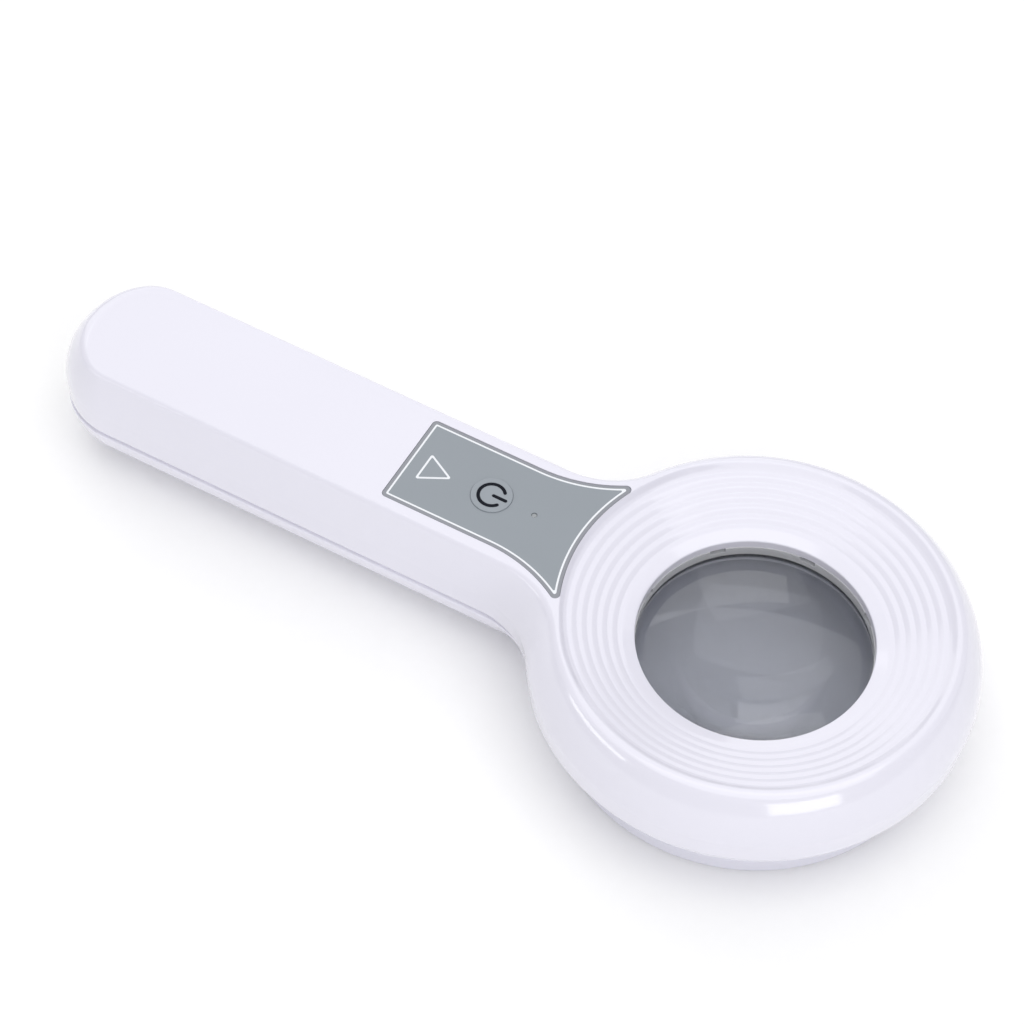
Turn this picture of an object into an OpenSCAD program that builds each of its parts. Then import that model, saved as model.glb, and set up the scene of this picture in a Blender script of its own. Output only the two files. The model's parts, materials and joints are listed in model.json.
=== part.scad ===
// Hand-held lit magnifier: a round lens head on a pill-shaped battery handle.
// The optical axis is Z, the underside rests on z = 0 and the handle runs along -X.

/* [Head] */
// Widest radius of the lens head
head_r = 60; // [56:0.5:72]
// Height of the head's widest level above the underside
widest_z = 23.3; // [22.5:0.1:26]
// Radius of the rounded shoulder above the widest level
shoulder_r = 23.7; // [21:0.1:27]
// Radius of the rounded belly below the widest level
belly_r = 17.4; // [16:0.1:20]
// Height of the rim crest and of the handle's flat top
top_z = 40; // [39:0.5:46]
// Height of the seam between the two housings
seam_z = 21.6; // [20:0.1:22.4]
// How far each housing tucks in at the seam
seam_tuck = 0.9; // [0.3:0.1:1.2]
// Wall thickness of the housings
wall = 2.2; // [1.8:0.1:2.8]

/* [Dish and lens] */
// Radius of the lens opening
opening_r = 31.5; // [29:0.5:32.5]
// Height of the opening's top edge
opening_z = 31; // [30:0.1:32]
// Rise of the dish for each millimetre outwards
dish_slope = 0.385; // [0.3:0.005:0.4]
// Radius at which the dish meets the rim crest
crest_r = 52.6; // [50:0.1:54]
// Radius of the first ring groove
groove_r = 36.1; // [34:0.1:38]
// Spacing of the ring grooves
groove_pitch = 2.7; // [2:0.1:3]
// Number of ring grooves
groove_count = 6; // [3:1:6]
// Depth of a ring groove
groove_depth = 0.4; // [0.2:0.05:0.6]
// Radius of the lens, with its flat rim
lens_r = 34.2; // [33.6:0.1:35]
// Thickness of the lens at its rim
lens_edge = 3.2; // [2:0.1:4]
// Height of each curved face of the lens
lens_rise = 4.6; // [2:0.1:5]
// Height of the clear ring between the opening and the lens
lens_ring_h = 2.9; // [2:0.1:3.2]

/* [Handle] */
// Half of the handle's widest breadth
handle_w = 20.5; // [19:0.1:25]
// Distance from the lens axis to the centre of the handle's round end
handle_l = 190; // [176:1:230]
// Length of the round end past its centre
end_l = 20.9; // [18:0.1:24]
// Radius of the handle's bulging side, seen end on
side_r = 57.5; // [50:0.5:80]
// Width of the soft corner along the flat top
corner_w = 1.2; // [0.6:0.1:2]
// Radius of the rounded underside
keel_r = 18.4; // [16:0.1:18.6]
// Radius of the neck's concave blend into the head
neck_r = 25; // [20:0.5:30]

/* [Base ring] */
// Outer radius of the ring the head stands on
ring_r = 52; // [50:0.5:53]
// Radius of the ring's bore
ring_bore_r = 46; // [45:0.1:47]
// Height of the base ring
ring_h = 11.4; // [10:0.1:12]

/* [Control panel] */
// Half-width of the panel along the handle
panel_w = 14.5; // [12:0.1:15.5]
// Distance from the lens axis to the panel's straight end
panel_x = 104.7; // [96:0.1:110]
// Thickness of the panel sheet
panel_t = 0.55; // [0.3:0.05:0.8]
// Distance from the lens axis to the power button
button_x = 79.1; // [76:0.1:82]
// Radius of the power button
button_r = 5.7; // [4:0.1:6.5]
// Travel of the power button
button_travel = 0.4; // [0.2:0.05:0.5]
// Distance from the lens axis to the indicator
indicator_x = 66.2; // [64:0.1:69]
// Radius of the indicator's light pipe
pipe_r = 0.8; // [0.5:0.1:1.2]

/* [Lighting] */
// Number of lamps in the ring
lamp_count = 16; // [8:4:20]
// Radius of the ring of lamps
lamp_ring_r = 41.3; // [41:0.1:41.6]
// Thickness of the circuit boards
board_t = 1.6; // [1:0.1:2]

/* [Power] */
// Radius of the battery cell
cell_r = 9.2; // [7:0.1:9.4]
// Length of the battery cell
cell_l = 65; // [50:0.5:66]
// Distance from the lens axis to the cell's near end
cell_x = 111; // [110:0.5:115]
// Height of the cell's axis
cell_z = 14; // [13.8:0.1:15]
// Radius of the charging socket's nose
socket_r = 3.9; // [3:0.1:4.2]
// Height of the charging socket's axis
socket_z = 14.4; // [13:0.1:15]
// Radius of an insulated wire
wire_r = 0.8; // [0.5:0.1:1]

/* [Screws and fits] */
// Shank radius of the housing screws
screw_r = 1.1; // [0.9:0.05:1.3]
// Shank radius of the circuit board screws
small_screw_r = 0.9; // [0.7:0.05:1]
// Gap round a screw in its pilot hole
pilot_gap = 0.05; // [0.02:0.01:0.1]
// Gap round a screw where it passes freely
free_gap = 0.25; // [0.15:0.05:0.4]
// Gap round pieces laid in a recess or a collar
seat_gap = 0.1; // [0.05:0.01:0.2]
// Gap round pieces that slide
slide_gap = 0.3; // [0.2:0.05:0.4]

/* [Hidden] */

$fn = 96;
quarter_n = 12;
neck_arc_n = 6;
end_arc_n = 8;

// Levels worked out from the driving sizes
floor_top = ring_h + wall;
ceiling_z = top_z - wall - 0.2;
dish_wall = wall + 0.2;
lens_ring_top = opening_z - 2.5;
lens_top = lens_ring_top - lens_ring_h;
lens_bottom = lens_top - lens_edge;
gasket_t = 0.8;
retainer_top = lens_bottom - gasket_t;
retainer_h = 2.2;
collar_r = lens_r + seat_gap;
collar_wall = 2;
collar_bottom = retainer_top - retainer_h - 0.4;
optic_r = opening_r - 0.5;

// Head screws, which clamp the base ring, the lower and the upper housing
head_screw_ring_r = (ring_r + ring_bore_r) / 2;
head_post_r = 3.2;
head_screw_angles = [45, 135, 225, 315];
post_meet_z = floor_top + 2.8;
head_screw_seat = ring_h - 4;
head_screw_l = 18.5;
screw_head_r = 2.1;
screw_head_h = 1.5;

// Lamp board, light window and their seats
lamp_board_r = head_screw_ring_r - head_post_r - 0.4;
window_t = 1.6;
window_top = floor_top + window_t;
window_r = lamp_board_r + 0.2;
window_bore_r = collar_r - 1.3;
shield_t = 1.2;
shield_top = retainer_top - retainer_h - 0.2;
floor_bore_r = window_r - 1.6;
lamp_size = [3, 2.8, 1];
lamp_gap = 1.4;
lamp_board_z = window_top + lamp_gap + lamp_size[2];
lamp_board_bore_r = collar_r + collar_wall + 0.6;
lamp_post_r = 2.4;
lamp_post_angles = [for (i = [0:3]) 45 + 90 * i + 180 / lamp_count];

// Handle screws
handle_screw_x = [cell_x - 7, cell_x + cell_l + 8];
handle_post_r = 3.4;
handle_seat_z = 8;
handle_meet_z = 19;
handle_screw_l = 20;

// Circuit board under the panel
main_board_z = 29.4;
main_board_top = main_board_z + board_t;
main_board_x = [60, 114];
main_board_w = 14.5;
main_post_x = [64, 110];
main_post_y = 11.6;
main_post_r = 2.5;
small_head_r = 1.7;
small_head_h = 1.3;

// Power button and its switch
button_well = top_z - panel_t - button_travel - 0.25;
button_top = top_z + 0.3;
button_cap_h = 0.8;
stem_r = 2;
switch_w = 6;
switch_h = 3.4;
plunger_r = 1.7;
plunger_top = main_board_top + 5;
plunger_foot = main_board_top + 2.2;
recess_z = top_z - panel_t - 0.05;
panel_round = 1.3;
flare_x = 72;
flare_r = 42;
indicator_h = 1.1;

// Charging socket
socket_body = [12, 9, 9.6];
socket_front = handle_l + end_l - 5.9;
socket_bore_r = 3.1;
rib_top = socket_z + 1;
rib_t = 2;
saddle_gap = 0.9;
pad_gap = 0.05;
saddle_x = [cell_x + 5, cell_x + 32, cell_x + 59];
press_x = [cell_x + 18, cell_x + 46];
press_w = 8;
press_pad_t = 1.2;

// Wire routes: points chosen along the real runs
battery_red_route = [[-177, -5, 16.8], [-178.4, -8, 20.4], [-175, -11.6, 24], [-166, -13, 25.4],
  [-150, -13, 25.6], [-130, -12, 26], [-120, -9, 28.4], [-116.6, -6.4, 31.2], [-113.7, -5.6, 32.6]];
battery_black_route = [[-109.9, -1.6, 16.6], [-109.4, -2.6, 21], [-111.6, -3.4, 25.4],
  [-115, -3.6, 28], [-116.2, -3.4, 30.8], [-113.7, -3.2, 32.6]];
socket_red_route = [[-192.2, 2.6, 17], [-189.6, 5.4, 18.4], [-185, 10.6, 21.4], [-178, 13.2, 24.6],
  [-150, 13.4, 25.6], [-130, 12, 26], [-120, 9, 28.4], [-116.6, 6.4, 31.2], [-113.7, 5.6, 32.6]];
socket_black_route = [[-192.2, -2.6, 17], [-190.6, -0.6, 21], [-188, 4.6, 24], [-180, 10.4, 26.8],
  [-150, 11, 27.8], [-130, 9.6, 28], [-120, 6, 29.6], [-116.4, 3.8, 31.2], [-113.7, 3.2, 32.6]];
lamp_lead_z = lamp_board_z + board_t + wire_r + 0.1;
lamp_red_route = [[-42, 1.4, lamp_lead_z], [-46, 2.6, lamp_lead_z + 0.9], [-51, 4.8, 25.4], [-56, 6.4, 31.2],
  [-60.2, 6.6, 32.6]];
lamp_black_route = [[-42, -1.4, lamp_lead_z], [-46, -0.4, lamp_lead_z + 0.9], [-51, 2, 25.4], [-56, 3.8, 31.2],
  [-60.2, 4.2, 32.6]];

// ---- Shape of the housings ----

// Inward bulge of an arc of radius r at height dz from its widest level
function sag(r, dz) = r - sqrt(r * r - dz * dz);

// Heights of the outer levels, from the top down to the seam
upper_levels = concat([top_z], [for (a = [40.5, 33, 25, 17, 9, 1.5]) widest_z + shoulder_r * sin(a)],
  [seam_z]);
function upper_tuck(z) = z == seam_z ? seam_tuck : 0;
function upper_corner(z) = z == top_z ? corner_w : 0;
function upper_ring(z, inset) = outline(z,
  head_r - sag(shoulder_r, z - widest_z) - upper_tuck(z) - inset,
  handle_w - sag(side_r, z - widest_z) - upper_tuck(z) - upper_corner(z) - inset,
  neck_r + inset,
  end_l - sag(shoulder_r, z - widest_z) - upper_tuck(z) - inset);

// Below the seam the head stops at the base ring, and the handle goes on down to its keel
seam_drop = 1.3;
lower_levels = [seam_z, seam_z - seam_drop, (seam_z + ring_h) / 2, ring_h];
keel_last = 78;
keel_squash = sin(keel_last);
keel_start = asin((keel_r - ring_h) * keel_squash / keel_r);
keel_angles = [for (f = [0.056, 0.252, 0.448, 0.644, 0.822, 1])
  keel_start + (keel_last - keel_start) * f];
keel_in_r = ring_r - 4;
ring_play = 1.2;
seat_r = ring_r + ring_play;
seat_lip = 0.8;
keel_neck_r = 14;
function keel_sag(z) = z < keel_r ? sag(keel_r, (keel_r - z) * keel_squash) : 0;
lower_step = 0.1;
function lower_tuck(z) = z == seam_z ? seam_tuck : 0;
function lower_ring(z, inset) = outline(z,
  head_r - sag(belly_r, widest_z - z) - lower_tuck(z) - inset,
  handle_w - lower_step - keel_sag(z) - lower_tuck(z) - inset,
  neck_r + inset,
  end_l - lower_step - keel_sag(z) - lower_tuck(z) - inset);
function keel_ring(a, inset) = outline(keel_r - (keel_r - inset) * sin(a) / keel_squash,
  keel_in_r - inset,
  handle_w - lower_step - keel_r + (keel_r - inset) * cos(a),
  keel_neck_r + inset,
  end_l - lower_step - keel_r + (keel_r - inset) * cos(a));

// Plan outline at height z: head circle, neck blends, straight sides and round end
function outline(z, r, b, f, e) =
  let (cy = b + f, cx = -sqrt(pow(r + f, 2) - cy * cy), turn = atan2(cy, cx),
    half = concat(
      [for (i = [0:quarter_n - 1]) let (a = 90 * i / quarter_n) [r * cos(a), r * sin(a)]],
      [for (i = [0:neck_arc_n]) let (a = 90 + (turn - 90) * i / neck_arc_n)
        [r * cos(a), r * sin(a)]],
      [for (i = [1:neck_arc_n]) let (a = turn + 180 + (90 - turn) * i / neck_arc_n)
        [cx + f * cos(a), cy + f * sin(a)]],
      [for (i = [0:end_arc_n - 1]) let (a = 90 + 90 * i / end_arc_n)
        [e * cos(a) - handle_l, b * sin(a)]],
      [[-handle_l - e, 0]]))
  [for (p = concat(half, [for (i = [len(half) - 2:-1:1]) [half[i][0], -half[i][1]]]))
    [p[0], p[1], z]];

// Cap of a ring whose points lie opposite each other in pairs, as strips across it
function cap(n) = concat([[0, 1, n - 1]],
  [for (i = [1:n / 2 - 2]) each [[i, i + 1, n - i - 1], [i, n - i - 1, n - i]]],
  [[n / 2 - 1, n / 2, n / 2 + 1]]);
function turned(faces) = [for (f = faces) [f[0], f[2], f[1]]];
function moved(faces, k) = [for (f = faces) [for (i = f) i + k]];

// Closed solid through a run of rings that all have as many points
module stack(rings) {
  n = len(rings[0]);
  m = len(rings);
  polyhedron(points = [for (r = rings) each r], faces = concat(
    turned(cap(n)),
    moved(cap(n), (m - 1) * n),
    [for (k = [0:m - 2]) for (i = [0:n - 1])
      [k * n + i, k * n + (i + 1) % n, (k + 1) * n + (i + 1) % n]],
    [for (k = [0:m - 2]) for (i = [0:n - 1])
      [k * n + i, (k + 1) * n + (i + 1) % n, (k + 1) * n + i]]));
}

// ---- Small helpers ----

module tube(r_out, r_in, z0, z1) {
  translate([0, 0, z0]) difference() {
    cylinder(r = r_out, h = z1 - z0);
    translate([0, 0, -1]) cylinder(r = r_in, h = z1 - z0 + 2);
  }
}

module post(x, y, r, z0, z1) {
  translate([x, y, z0]) cylinder(r = r, h = z1 - z0, $fn = 32);
}

module slab(x0, x1, y0, y1, z0, z1) {
  translate([x0, y0, z0]) cube([x1 - x0, y1 - y0, z1 - z0]);
}

// Pan-head screw with its head below, seated at height z and reaching up by l
module screw(x, y, z, shank, l, head, head_h) {
  translate([x, y, z]) difference() {
    union() {
      cylinder(r = shank, h = l, $fn = 24);
      translate([0, 0, -head_h]) cylinder(r = head, h = head_h, $fn = 32);
    }
    for (a = [0, 90]) rotate([0, 0, a])
      translate([-head * 0.6, -0.25, -head_h - 1]) cube([head * 1.2, 0.5, 1.6]);
  }
}

module around(angles, r) {
  for (a = angles) rotate([0, 0, a]) translate([r, 0, 0]) children();
}

// Smooth curve through the points of a route, with steps spans between each two
function bend(p, i, t) =
  let (a = p[max(i - 1, 0)], b = p[i], c = p[i + 1], d = p[min(i + 2, len(p) - 1)])
  0.5 * (2 * b + (c - a) * t + (2 * a - 5 * b + 4 * c - d) * t * t
    + (3 * b - a - 3 * c + d) * t * t * t);
function smooth(p, steps) = concat([for (i = [0:len(p) - 2]) for (s = [0:steps - 1])
  bend(p, i, s / steps)], [p[len(p) - 1]]);
function unit(v) = v / norm(v);

// Insulated wire swept along a route
module wire(route) {
  sides = 8;
  line = smooth(route, 3);
  n = len(line);
  stack([for (i = [0:n - 1])
    let (t = unit(line[min(i + 1, n - 1)] - line[max(i - 1, 0)]),
      u = unit(cross(t, [0.1, 0.2, 1])), v = cross(u, t))
    [for (s = [0:sides - 1]) line[i] + wire_r * (cos(360 * s / sides) * u + sin(360 * s / sides) * v)]]);
}

// ---- Housings ----

groove_w = 0.6;
function dish_z(r) = opening_z + dish_slope * (r - opening_r);

// Everything above the dish, with the ring grooves and the lens opening
module dish_cutter() {
  rotate_extrude($fn = 144) polygon(concat(
    [[0, lens_ring_top - 1], [opening_r, lens_ring_top - 1], [opening_r, opening_z]],
    [for (i = [0:groove_count - 1]) let (r = groove_r + i * groove_pitch)
      each [[r - groove_w, dish_z(r - groove_w)], [r, dish_z(r) - groove_depth],
        [r + groove_w, dish_z(r + groove_w)]]],
    [[crest_r - 1.2, dish_z(crest_r - 1.2)], [crest_r - 0.5, top_z - 0.55], [crest_r, top_z],
      [crest_r, top_z + 3], [0, top_z + 3]]));
}

// Underside of the dish, the lip round the opening and the collar that holds the lens
module dish_body() {
  collar_out = collar_r + collar_wall;
  rotate_extrude($fn = 144) polygon([[opening_r - 1, lens_ring_top], [collar_r, lens_ring_top],
    [collar_r, collar_bottom], [collar_out, collar_bottom],
    [collar_out, dish_z(collar_out) - dish_wall], [crest_r, dish_z(crest_r) - dish_wall],
    [crest_r, top_z - 0.05], [opening_r - 1, top_z - 0.05]]);
}

// Outline of the control panel, which flares towards the head
module panel_outline(grow) {
  offset(r = grow + panel_round, $fn = 48) offset(delta = -panel_round) difference() {
    translate([-panel_x, -panel_w - 12]) square([panel_x - 40, 2 * panel_w + 24]);
    for (s = [-1, 1]) hull() {
      translate([-flare_x, s * (panel_w + flare_r)]) circle(r = flare_r, $fn = 160);
      translate([-panel_x - 60, s * (panel_w + flare_r)]) circle(r = flare_r, $fn = 160);
    }
    circle(r = crest_r - 0.9, $fn = 160);
  }
}

module upper_housing() {
  color("ghostwhite") difference() {
    union() {
      stack(concat([for (z = upper_levels) upper_ring(z, 0)],
        [upper_ring(seam_z, wall - seam_tuck)],
        [for (z = [26, 30, 34, ceiling_z]) upper_ring(z, wall)]));
      dish_body();
      around(lamp_post_angles, lamp_ring_r)
        post(0, 0, lamp_post_r, lamp_board_z + board_t, dish_z(lamp_ring_r) - 1);
      around(head_screw_angles, head_screw_ring_r)
        post(0, 0, head_post_r, post_meet_z, dish_z(head_screw_ring_r) - 1);
      for (x = main_post_x, s = [-1, 1])
        post(-x, s * main_post_y, main_post_r, main_board_top, ceiling_z + 1);
      for (x = handle_screw_x) post(-x, 0, handle_post_r, handle_meet_z, ceiling_z + 1);
      // Press ribs that hold the cell down on its pads
      for (x = press_x) slab(-x - rib_t, -x, -press_w, press_w, cell_z + cell_r + press_pad_t,
        ceiling_z + 1);
    }
    dish_cutter();
    translate([0, 0, recess_z]) linear_extrude(2) panel_outline(seat_gap);
    post(-button_x, 0, button_r + slide_gap + 0.4, button_well, top_z + 1);
    post(-button_x, 0, stem_r + slide_gap, ceiling_z - 1, top_z);
    post(-indicator_x, 0, pipe_r + seat_gap, ceiling_z - 1, top_z);
    around(lamp_post_angles, lamp_ring_r)
      post(0, 0, small_screw_r + pilot_gap, lamp_board_z, lamp_board_z + board_t + 7);
    around(head_screw_angles, head_screw_ring_r)
      post(0, 0, screw_r + pilot_gap, post_meet_z - 1, head_screw_seat + head_screw_l + 1);
    for (x = main_post_x, s = [-1, 1])
      post(-x, s * main_post_y, small_screw_r + pilot_gap, main_board_z, main_board_top + 5);
    for (x = handle_screw_x)
      post(-x, 0, screw_r + pilot_gap, handle_meet_z - 1, handle_seat_z + handle_screw_l + 1);
  }
}

// Cross rib that grows out of the keel's inner wall; the keel narrows past the end's centre
module saddle(x, t, past_end) {
  far = max(past_end + t, 0);
  flat = handle_w - lower_step - keel_r;
  root_r = keel_r - wall / 2;
  reach = sqrt(pow(flat + root_r - 0.4, 2) - far * far);
  side = [for (i = [0:8]) let (y = reach * i / 8, d = max(norm([y, far]) - flat, 0))
    [y, keel_r - sqrt(root_r * root_r - d * d) / keel_squash]];
  translate([x, 0, 0]) rotate([90, 0, 90]) linear_extrude(t) polygon(concat(
    [[-reach, rib_top], [reach, rib_top]],
    [for (i = [8:-1:0]) side[i]], [for (i = [1:8]) [-side[i][0], side[i][1]]]));
}

module lower_housing() {
  cell_back = cell_x + cell_l;
  color("lavender") difference() {
    union() {
      stack(concat([for (i = [len(keel_angles) - 1:-1:0]) keel_ring(keel_angles[i], wall)],
        [lower_ring(floor_top, wall), lower_ring((floor_top + seam_z) / 2, wall),
          lower_ring(seam_z, wall - seam_tuck)],
        [for (z = lower_levels) lower_ring(z, 0)],
        [for (a = keel_angles) keel_ring(a, 0)]));
      around(head_screw_angles, head_screw_ring_r) post(0, 0, head_post_r, ring_h + 0.5, post_meet_z);
      // Floor round the light window, and the wall that closes the handle behind the base ring
      tube(seat_r + seat_lip, floor_bore_r - 1, ring_h, floor_top);
      saddle(-seat_r - wall - seat_lip / 2, wall, 0);
      for (x = handle_screw_x) post(-x, 0, handle_post_r + 0.6, 1, handle_meet_z);
      // Saddles under the battery cell and under the charging socket
      for (x = saddle_x) saddle(-x - rib_t / 2, rib_t, 0);
      for (x = [1.2, socket_body[0] - 0.8])
        saddle(x - socket_front, rib_t, socket_front - handle_l - x - rib_t);
    }
    // Seat of the base ring and the way to the lens
    translate([0, 0, -1]) cylinder(r = seat_r, h = ring_h + 1, $fn = 144);
    translate([0, 0, -1]) cylinder(r = floor_bore_r, h = 40, $fn = 144);
    around(head_screw_angles, head_screw_ring_r)
      post(0, 0, screw_r + free_gap, ring_h - 1, post_meet_z + 1);
    for (x = handle_screw_x) {
      post(-x, 0, screw_head_r + 0.4, -1, handle_seat_z);
      post(-x, 0, screw_r + free_gap, 0, handle_meet_z + 1);
    }
    translate([-cell_back - 2, 0, cell_z]) rotate([0, 90, 0])
      cylinder(r = cell_r + saddle_gap, h = cell_l + 4);
    slab(-socket_front, -socket_front + socket_body[0], -socket_body[1] / 2 - seat_gap,
      socket_body[1] / 2 + seat_gap, socket_z - socket_body[2] / 2, seam_z + 1);
    translate([-handle_l - end_l - 2, 0, socket_z]) rotate([0, 90, 0])
      cylinder(r = socket_r + seat_gap, h = 12, $fn = 48);
  }
}

module base_ring() {
  color("lavender") difference() {
    tube(ring_r, ring_bore_r, 0, ring_h);
    around(head_screw_angles, head_screw_ring_r) {
      post(0, 0, screw_head_r + 0.3, -1, head_screw_seat);
      post(0, 0, screw_r + free_gap, 0, ring_h + 1);
    }
  }
}

// ---- Lens and its fixings ----

module lens() {
  cap_r = (optic_r * optic_r + lens_rise * lens_rise) / (2 * lens_rise);
  color("lightgray") {
    rotate_extrude($fn = 144) polygon(concat(
      [[0, lens_bottom - lens_rise]],
      [for (i = [1:10]) let (r = optic_r * i / 10)
        [r, lens_bottom - lens_rise + sag(cap_r, r)]],
      [[lens_r, lens_bottom], [lens_r, lens_top]],
      [for (i = [10:-1:1]) let (r = optic_r * i / 10) [r, lens_top + lens_rise - sag(cap_r, r)]],
      [[0, lens_top + lens_rise]]));
  }
}

module lens_ring() {
  color("whitesmoke") difference() {
    tube(lens_r, opening_r - 0.2, lens_top, lens_ring_top);
    around([for (i = [0:7]) 45 * i], opening_r)
      slab(-2, 1.2, -2.2, 2.2, lens_top + 1.4, lens_ring_top + 1);
  }
}

module lens_gasket() {
  color("dimgray") tube(lens_r, opening_r + 0.1, retainer_top, lens_bottom);
}

module lens_retainer() {
  color("gainsboro") difference() {
    tube(lens_r, opening_r + 0.1, retainer_top - retainer_h, retainer_top);
    around([0, 180], (lens_r + opening_r) / 2) slab(-3, 3, -1, 1, 0, retainer_top - 1);
  }
}

// ---- Ring light ----

module light_window() {
  color("white") {
    tube(window_r, window_bore_r, floor_top, window_top);
    tube(window_bore_r + shield_t, window_bore_r, floor_top, shield_top);
  }
}

module lamp_board() {
  color("seagreen") difference() {
    tube(lamp_board_r, lamp_board_bore_r, lamp_board_z, lamp_board_z + board_t);
    around(lamp_post_angles, lamp_ring_r)
      post(0, 0, small_screw_r + free_gap, lamp_board_z - 1, lamp_board_z + board_t + 1);
  }
}

module lamps() {
  color("lightyellow") around([for (i = [0:lamp_count - 1]) 360 * i / lamp_count], lamp_ring_r)
    translate([-lamp_size[0] / 2, -lamp_size[1] / 2, lamp_board_z - lamp_size[2]]) cube(lamp_size);
}

module lamp_resistors() {
  color("dimgray") around([for (i = [0:3]) 12 + 90 * i], lamp_ring_r)
    slab(-1.6, 1.6, -0.8, 0.8, lamp_board_z + board_t, lamp_board_z + board_t + 0.6);
}

module lamp_board_screws() {
  color("silver") around(lamp_post_angles, lamp_ring_r)
    screw(0, 0, lamp_board_z, small_screw_r, board_t + 6, small_head_r, small_head_h);
}

// ---- Control panel, button and circuit board ----

module panel_sheet() {
  color("darkgray") difference() {
    translate([0, 0, recess_z]) linear_extrude(panel_t) panel_outline(0);
    post(-button_x, 0, button_r + slide_gap, top_z - 2, top_z + 1);
    post(-indicator_x, 0, pipe_r + seat_gap, top_z - 2, top_z + 1);
  }
}

module power_button() {
  color("darkgray") {
    post(-button_x, 0, button_r, button_top - button_cap_h, button_top);
    post(-button_x, 0, stem_r, plunger_top, button_top - 0.1);
  }
}

module switch_plunger() {
  color("black") post(-button_x, 0, plunger_r, plunger_foot, plunger_top);
}

module switch_body() {
  half = switch_w / 2;
  color("dimgray") difference() {
    slab(-button_x - half, -button_x + half, -half, half, main_board_top,
      main_board_top + switch_h);
    post(-button_x, 0, plunger_r + slide_gap, plunger_foot - button_travel - 0.3, plunger_top);
  }
}

module indicator_pipe() {
  color("aliceblue") {
    post(-indicator_x, 0, pipe_r, main_board_top + indicator_h + 0.3, top_z - 0.15);
    post(-indicator_x, 0, pipe_r + 0.7, ceiling_z - 1, ceiling_z);
  }
}

module indicator_lamp() {
  color("palegreen") slab(-indicator_x - 0.8, -indicator_x + 0.8, -0.6, 0.6, main_board_top,
    main_board_top + indicator_h);
}

module main_board() {
  color("seagreen") difference() {
    slab(-main_board_x[1], -main_board_x[0], -main_board_w, main_board_w, main_board_z,
      main_board_top);
    for (x = main_post_x, s = [-1, 1])
      post(-x, s * main_post_y, small_screw_r + free_gap, main_board_z - 1, main_board_top + 1);
    post(-handle_screw_x[0], 0, handle_post_r + 0.5, main_board_z - 1, main_board_top + 1);
  }
}

// Chip with its body and two rows of legs, lying on the board's upper face
module chip(x, y, legs) {
  body_w = 3.9;
  leg_pitch = 1.27;
  body_l = legs * leg_pitch;
  slab(x - body_l / 2, x + body_l / 2, y - body_w / 2, y + body_w / 2, main_board_top + 0.15,
    main_board_top + 1.6);
  for (i = [0:legs - 1], s = [-1, 1]) {
    leg_x = x + (i - (legs - 1) / 2) * leg_pitch;
    slab(leg_x - 0.2, leg_x + 0.2, s > 0 ? y + body_w / 2 - 0.3 : y - body_w / 2 - 1,
      s > 0 ? y + body_w / 2 + 1 : y - body_w / 2 + 0.3, main_board_top, main_board_top + 0.4);
  }
}

module charge_chip() {
  color("darkslategray") chip(-92, 8.4, 4);
}

module driver_chip() {
  color("darkslategray") chip(-92, -8.4, 4);
}

module inductor() {
  color("gray") translate([-70.6, -8, main_board_top]) {
    cylinder(r = 2.9, h = 0.7, $fn = 40);
    cylinder(r = 2, h = 3.2, $fn = 40);
    translate([0, 0, 2.6]) cylinder(r = 2.9, h = 0.7, $fn = 40);
  }
}

module board_capacitors() {
  color("peru") for (p = [[-84, 10], [-84, -10], [-98.6, 5.6], [-98.6, -5.6], [-73, 7]])
    slab(p[0] - 1, p[0] + 1, p[1] - 0.7, p[1] + 0.7, main_board_top, main_board_top + 1);
}

module board_screws() {
  color("silver") for (x = main_post_x, s = [-1, 1])
    screw(-x, s * main_post_y, main_board_z, small_screw_r, board_t + 4, small_head_r,
      small_head_h);
}

// Two-way wire plug in its header, lying on the board
module plug(x, y) {
  color("ivory") slab(x - 2.6, x + 2.6, y - 3, y + 3, main_board_top, main_board_top + 3.2);
}

module lamp_plug() {
  plug(-63, 5.4);
}

module battery_plug() {
  plug(-110.6, -4.4);
}

module socket_plug() {
  plug(-110.6, 4.4);
}

// ---- Battery and charging socket ----

module lying_cylinder(x, r, l) {
  translate([-x - l, 0, cell_z]) rotate([0, 90, 0]) cylinder(r = r, h = l);
}

module battery_cell() {
  color("silver") {
    lying_cylinder(cell_x + 1.6, cell_r - 0.25, cell_l - 1.6);
    lying_cylinder(cell_x, 3, 2);
  }
}

module battery_sleeve() {
  color("steelblue") difference() {
    lying_cylinder(cell_x + 1.2, cell_r, cell_l - 1.2);
    lying_cylinder(cell_x + 1.6, cell_r - 0.25, cell_l);
    lying_cylinder(cell_x, cell_r - 2, cell_l);
  }
}

module battery_tabs() {
  color("lightgray") {
    slab(-cell_x, -cell_x + 0.2, -2.5, 2.5, cell_z - 2.5, cell_z + 4);
    slab(-cell_x - cell_l - 0.2, -cell_x - cell_l, -7.4, 0, cell_z - 2.5, cell_z + 4);
  }
}

module battery_pads() {
  color("darkslategray") {
    for (x = saddle_x) intersection() {
      difference() {
        lying_cylinder(x - rib_t / 2, cell_r + saddle_gap - pad_gap, rib_t);
        lying_cylinder(x - rib_t, cell_r + pad_gap, 2 * rib_t);
      }
      slab(-x - 2, -x + 2, -8, 8, 0, cell_z - 4);
    }
    for (x = press_x)
      slab(-x - rib_t, -x, -press_w / 2, press_w / 2, cell_z + cell_r,
        cell_z + cell_r + press_pad_t);
  }
}

module battery_leads() {
  color("firebrick") wire(battery_red_route);
  color("black") wire(battery_black_route);
}

module lamp_leads() {
  color("firebrick") wire(lamp_red_route);
  color("black") wire(lamp_black_route);
}

module socket_leads() {
  color("firebrick") wire(socket_red_route);
  color("black") wire(socket_black_route);
}

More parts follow.
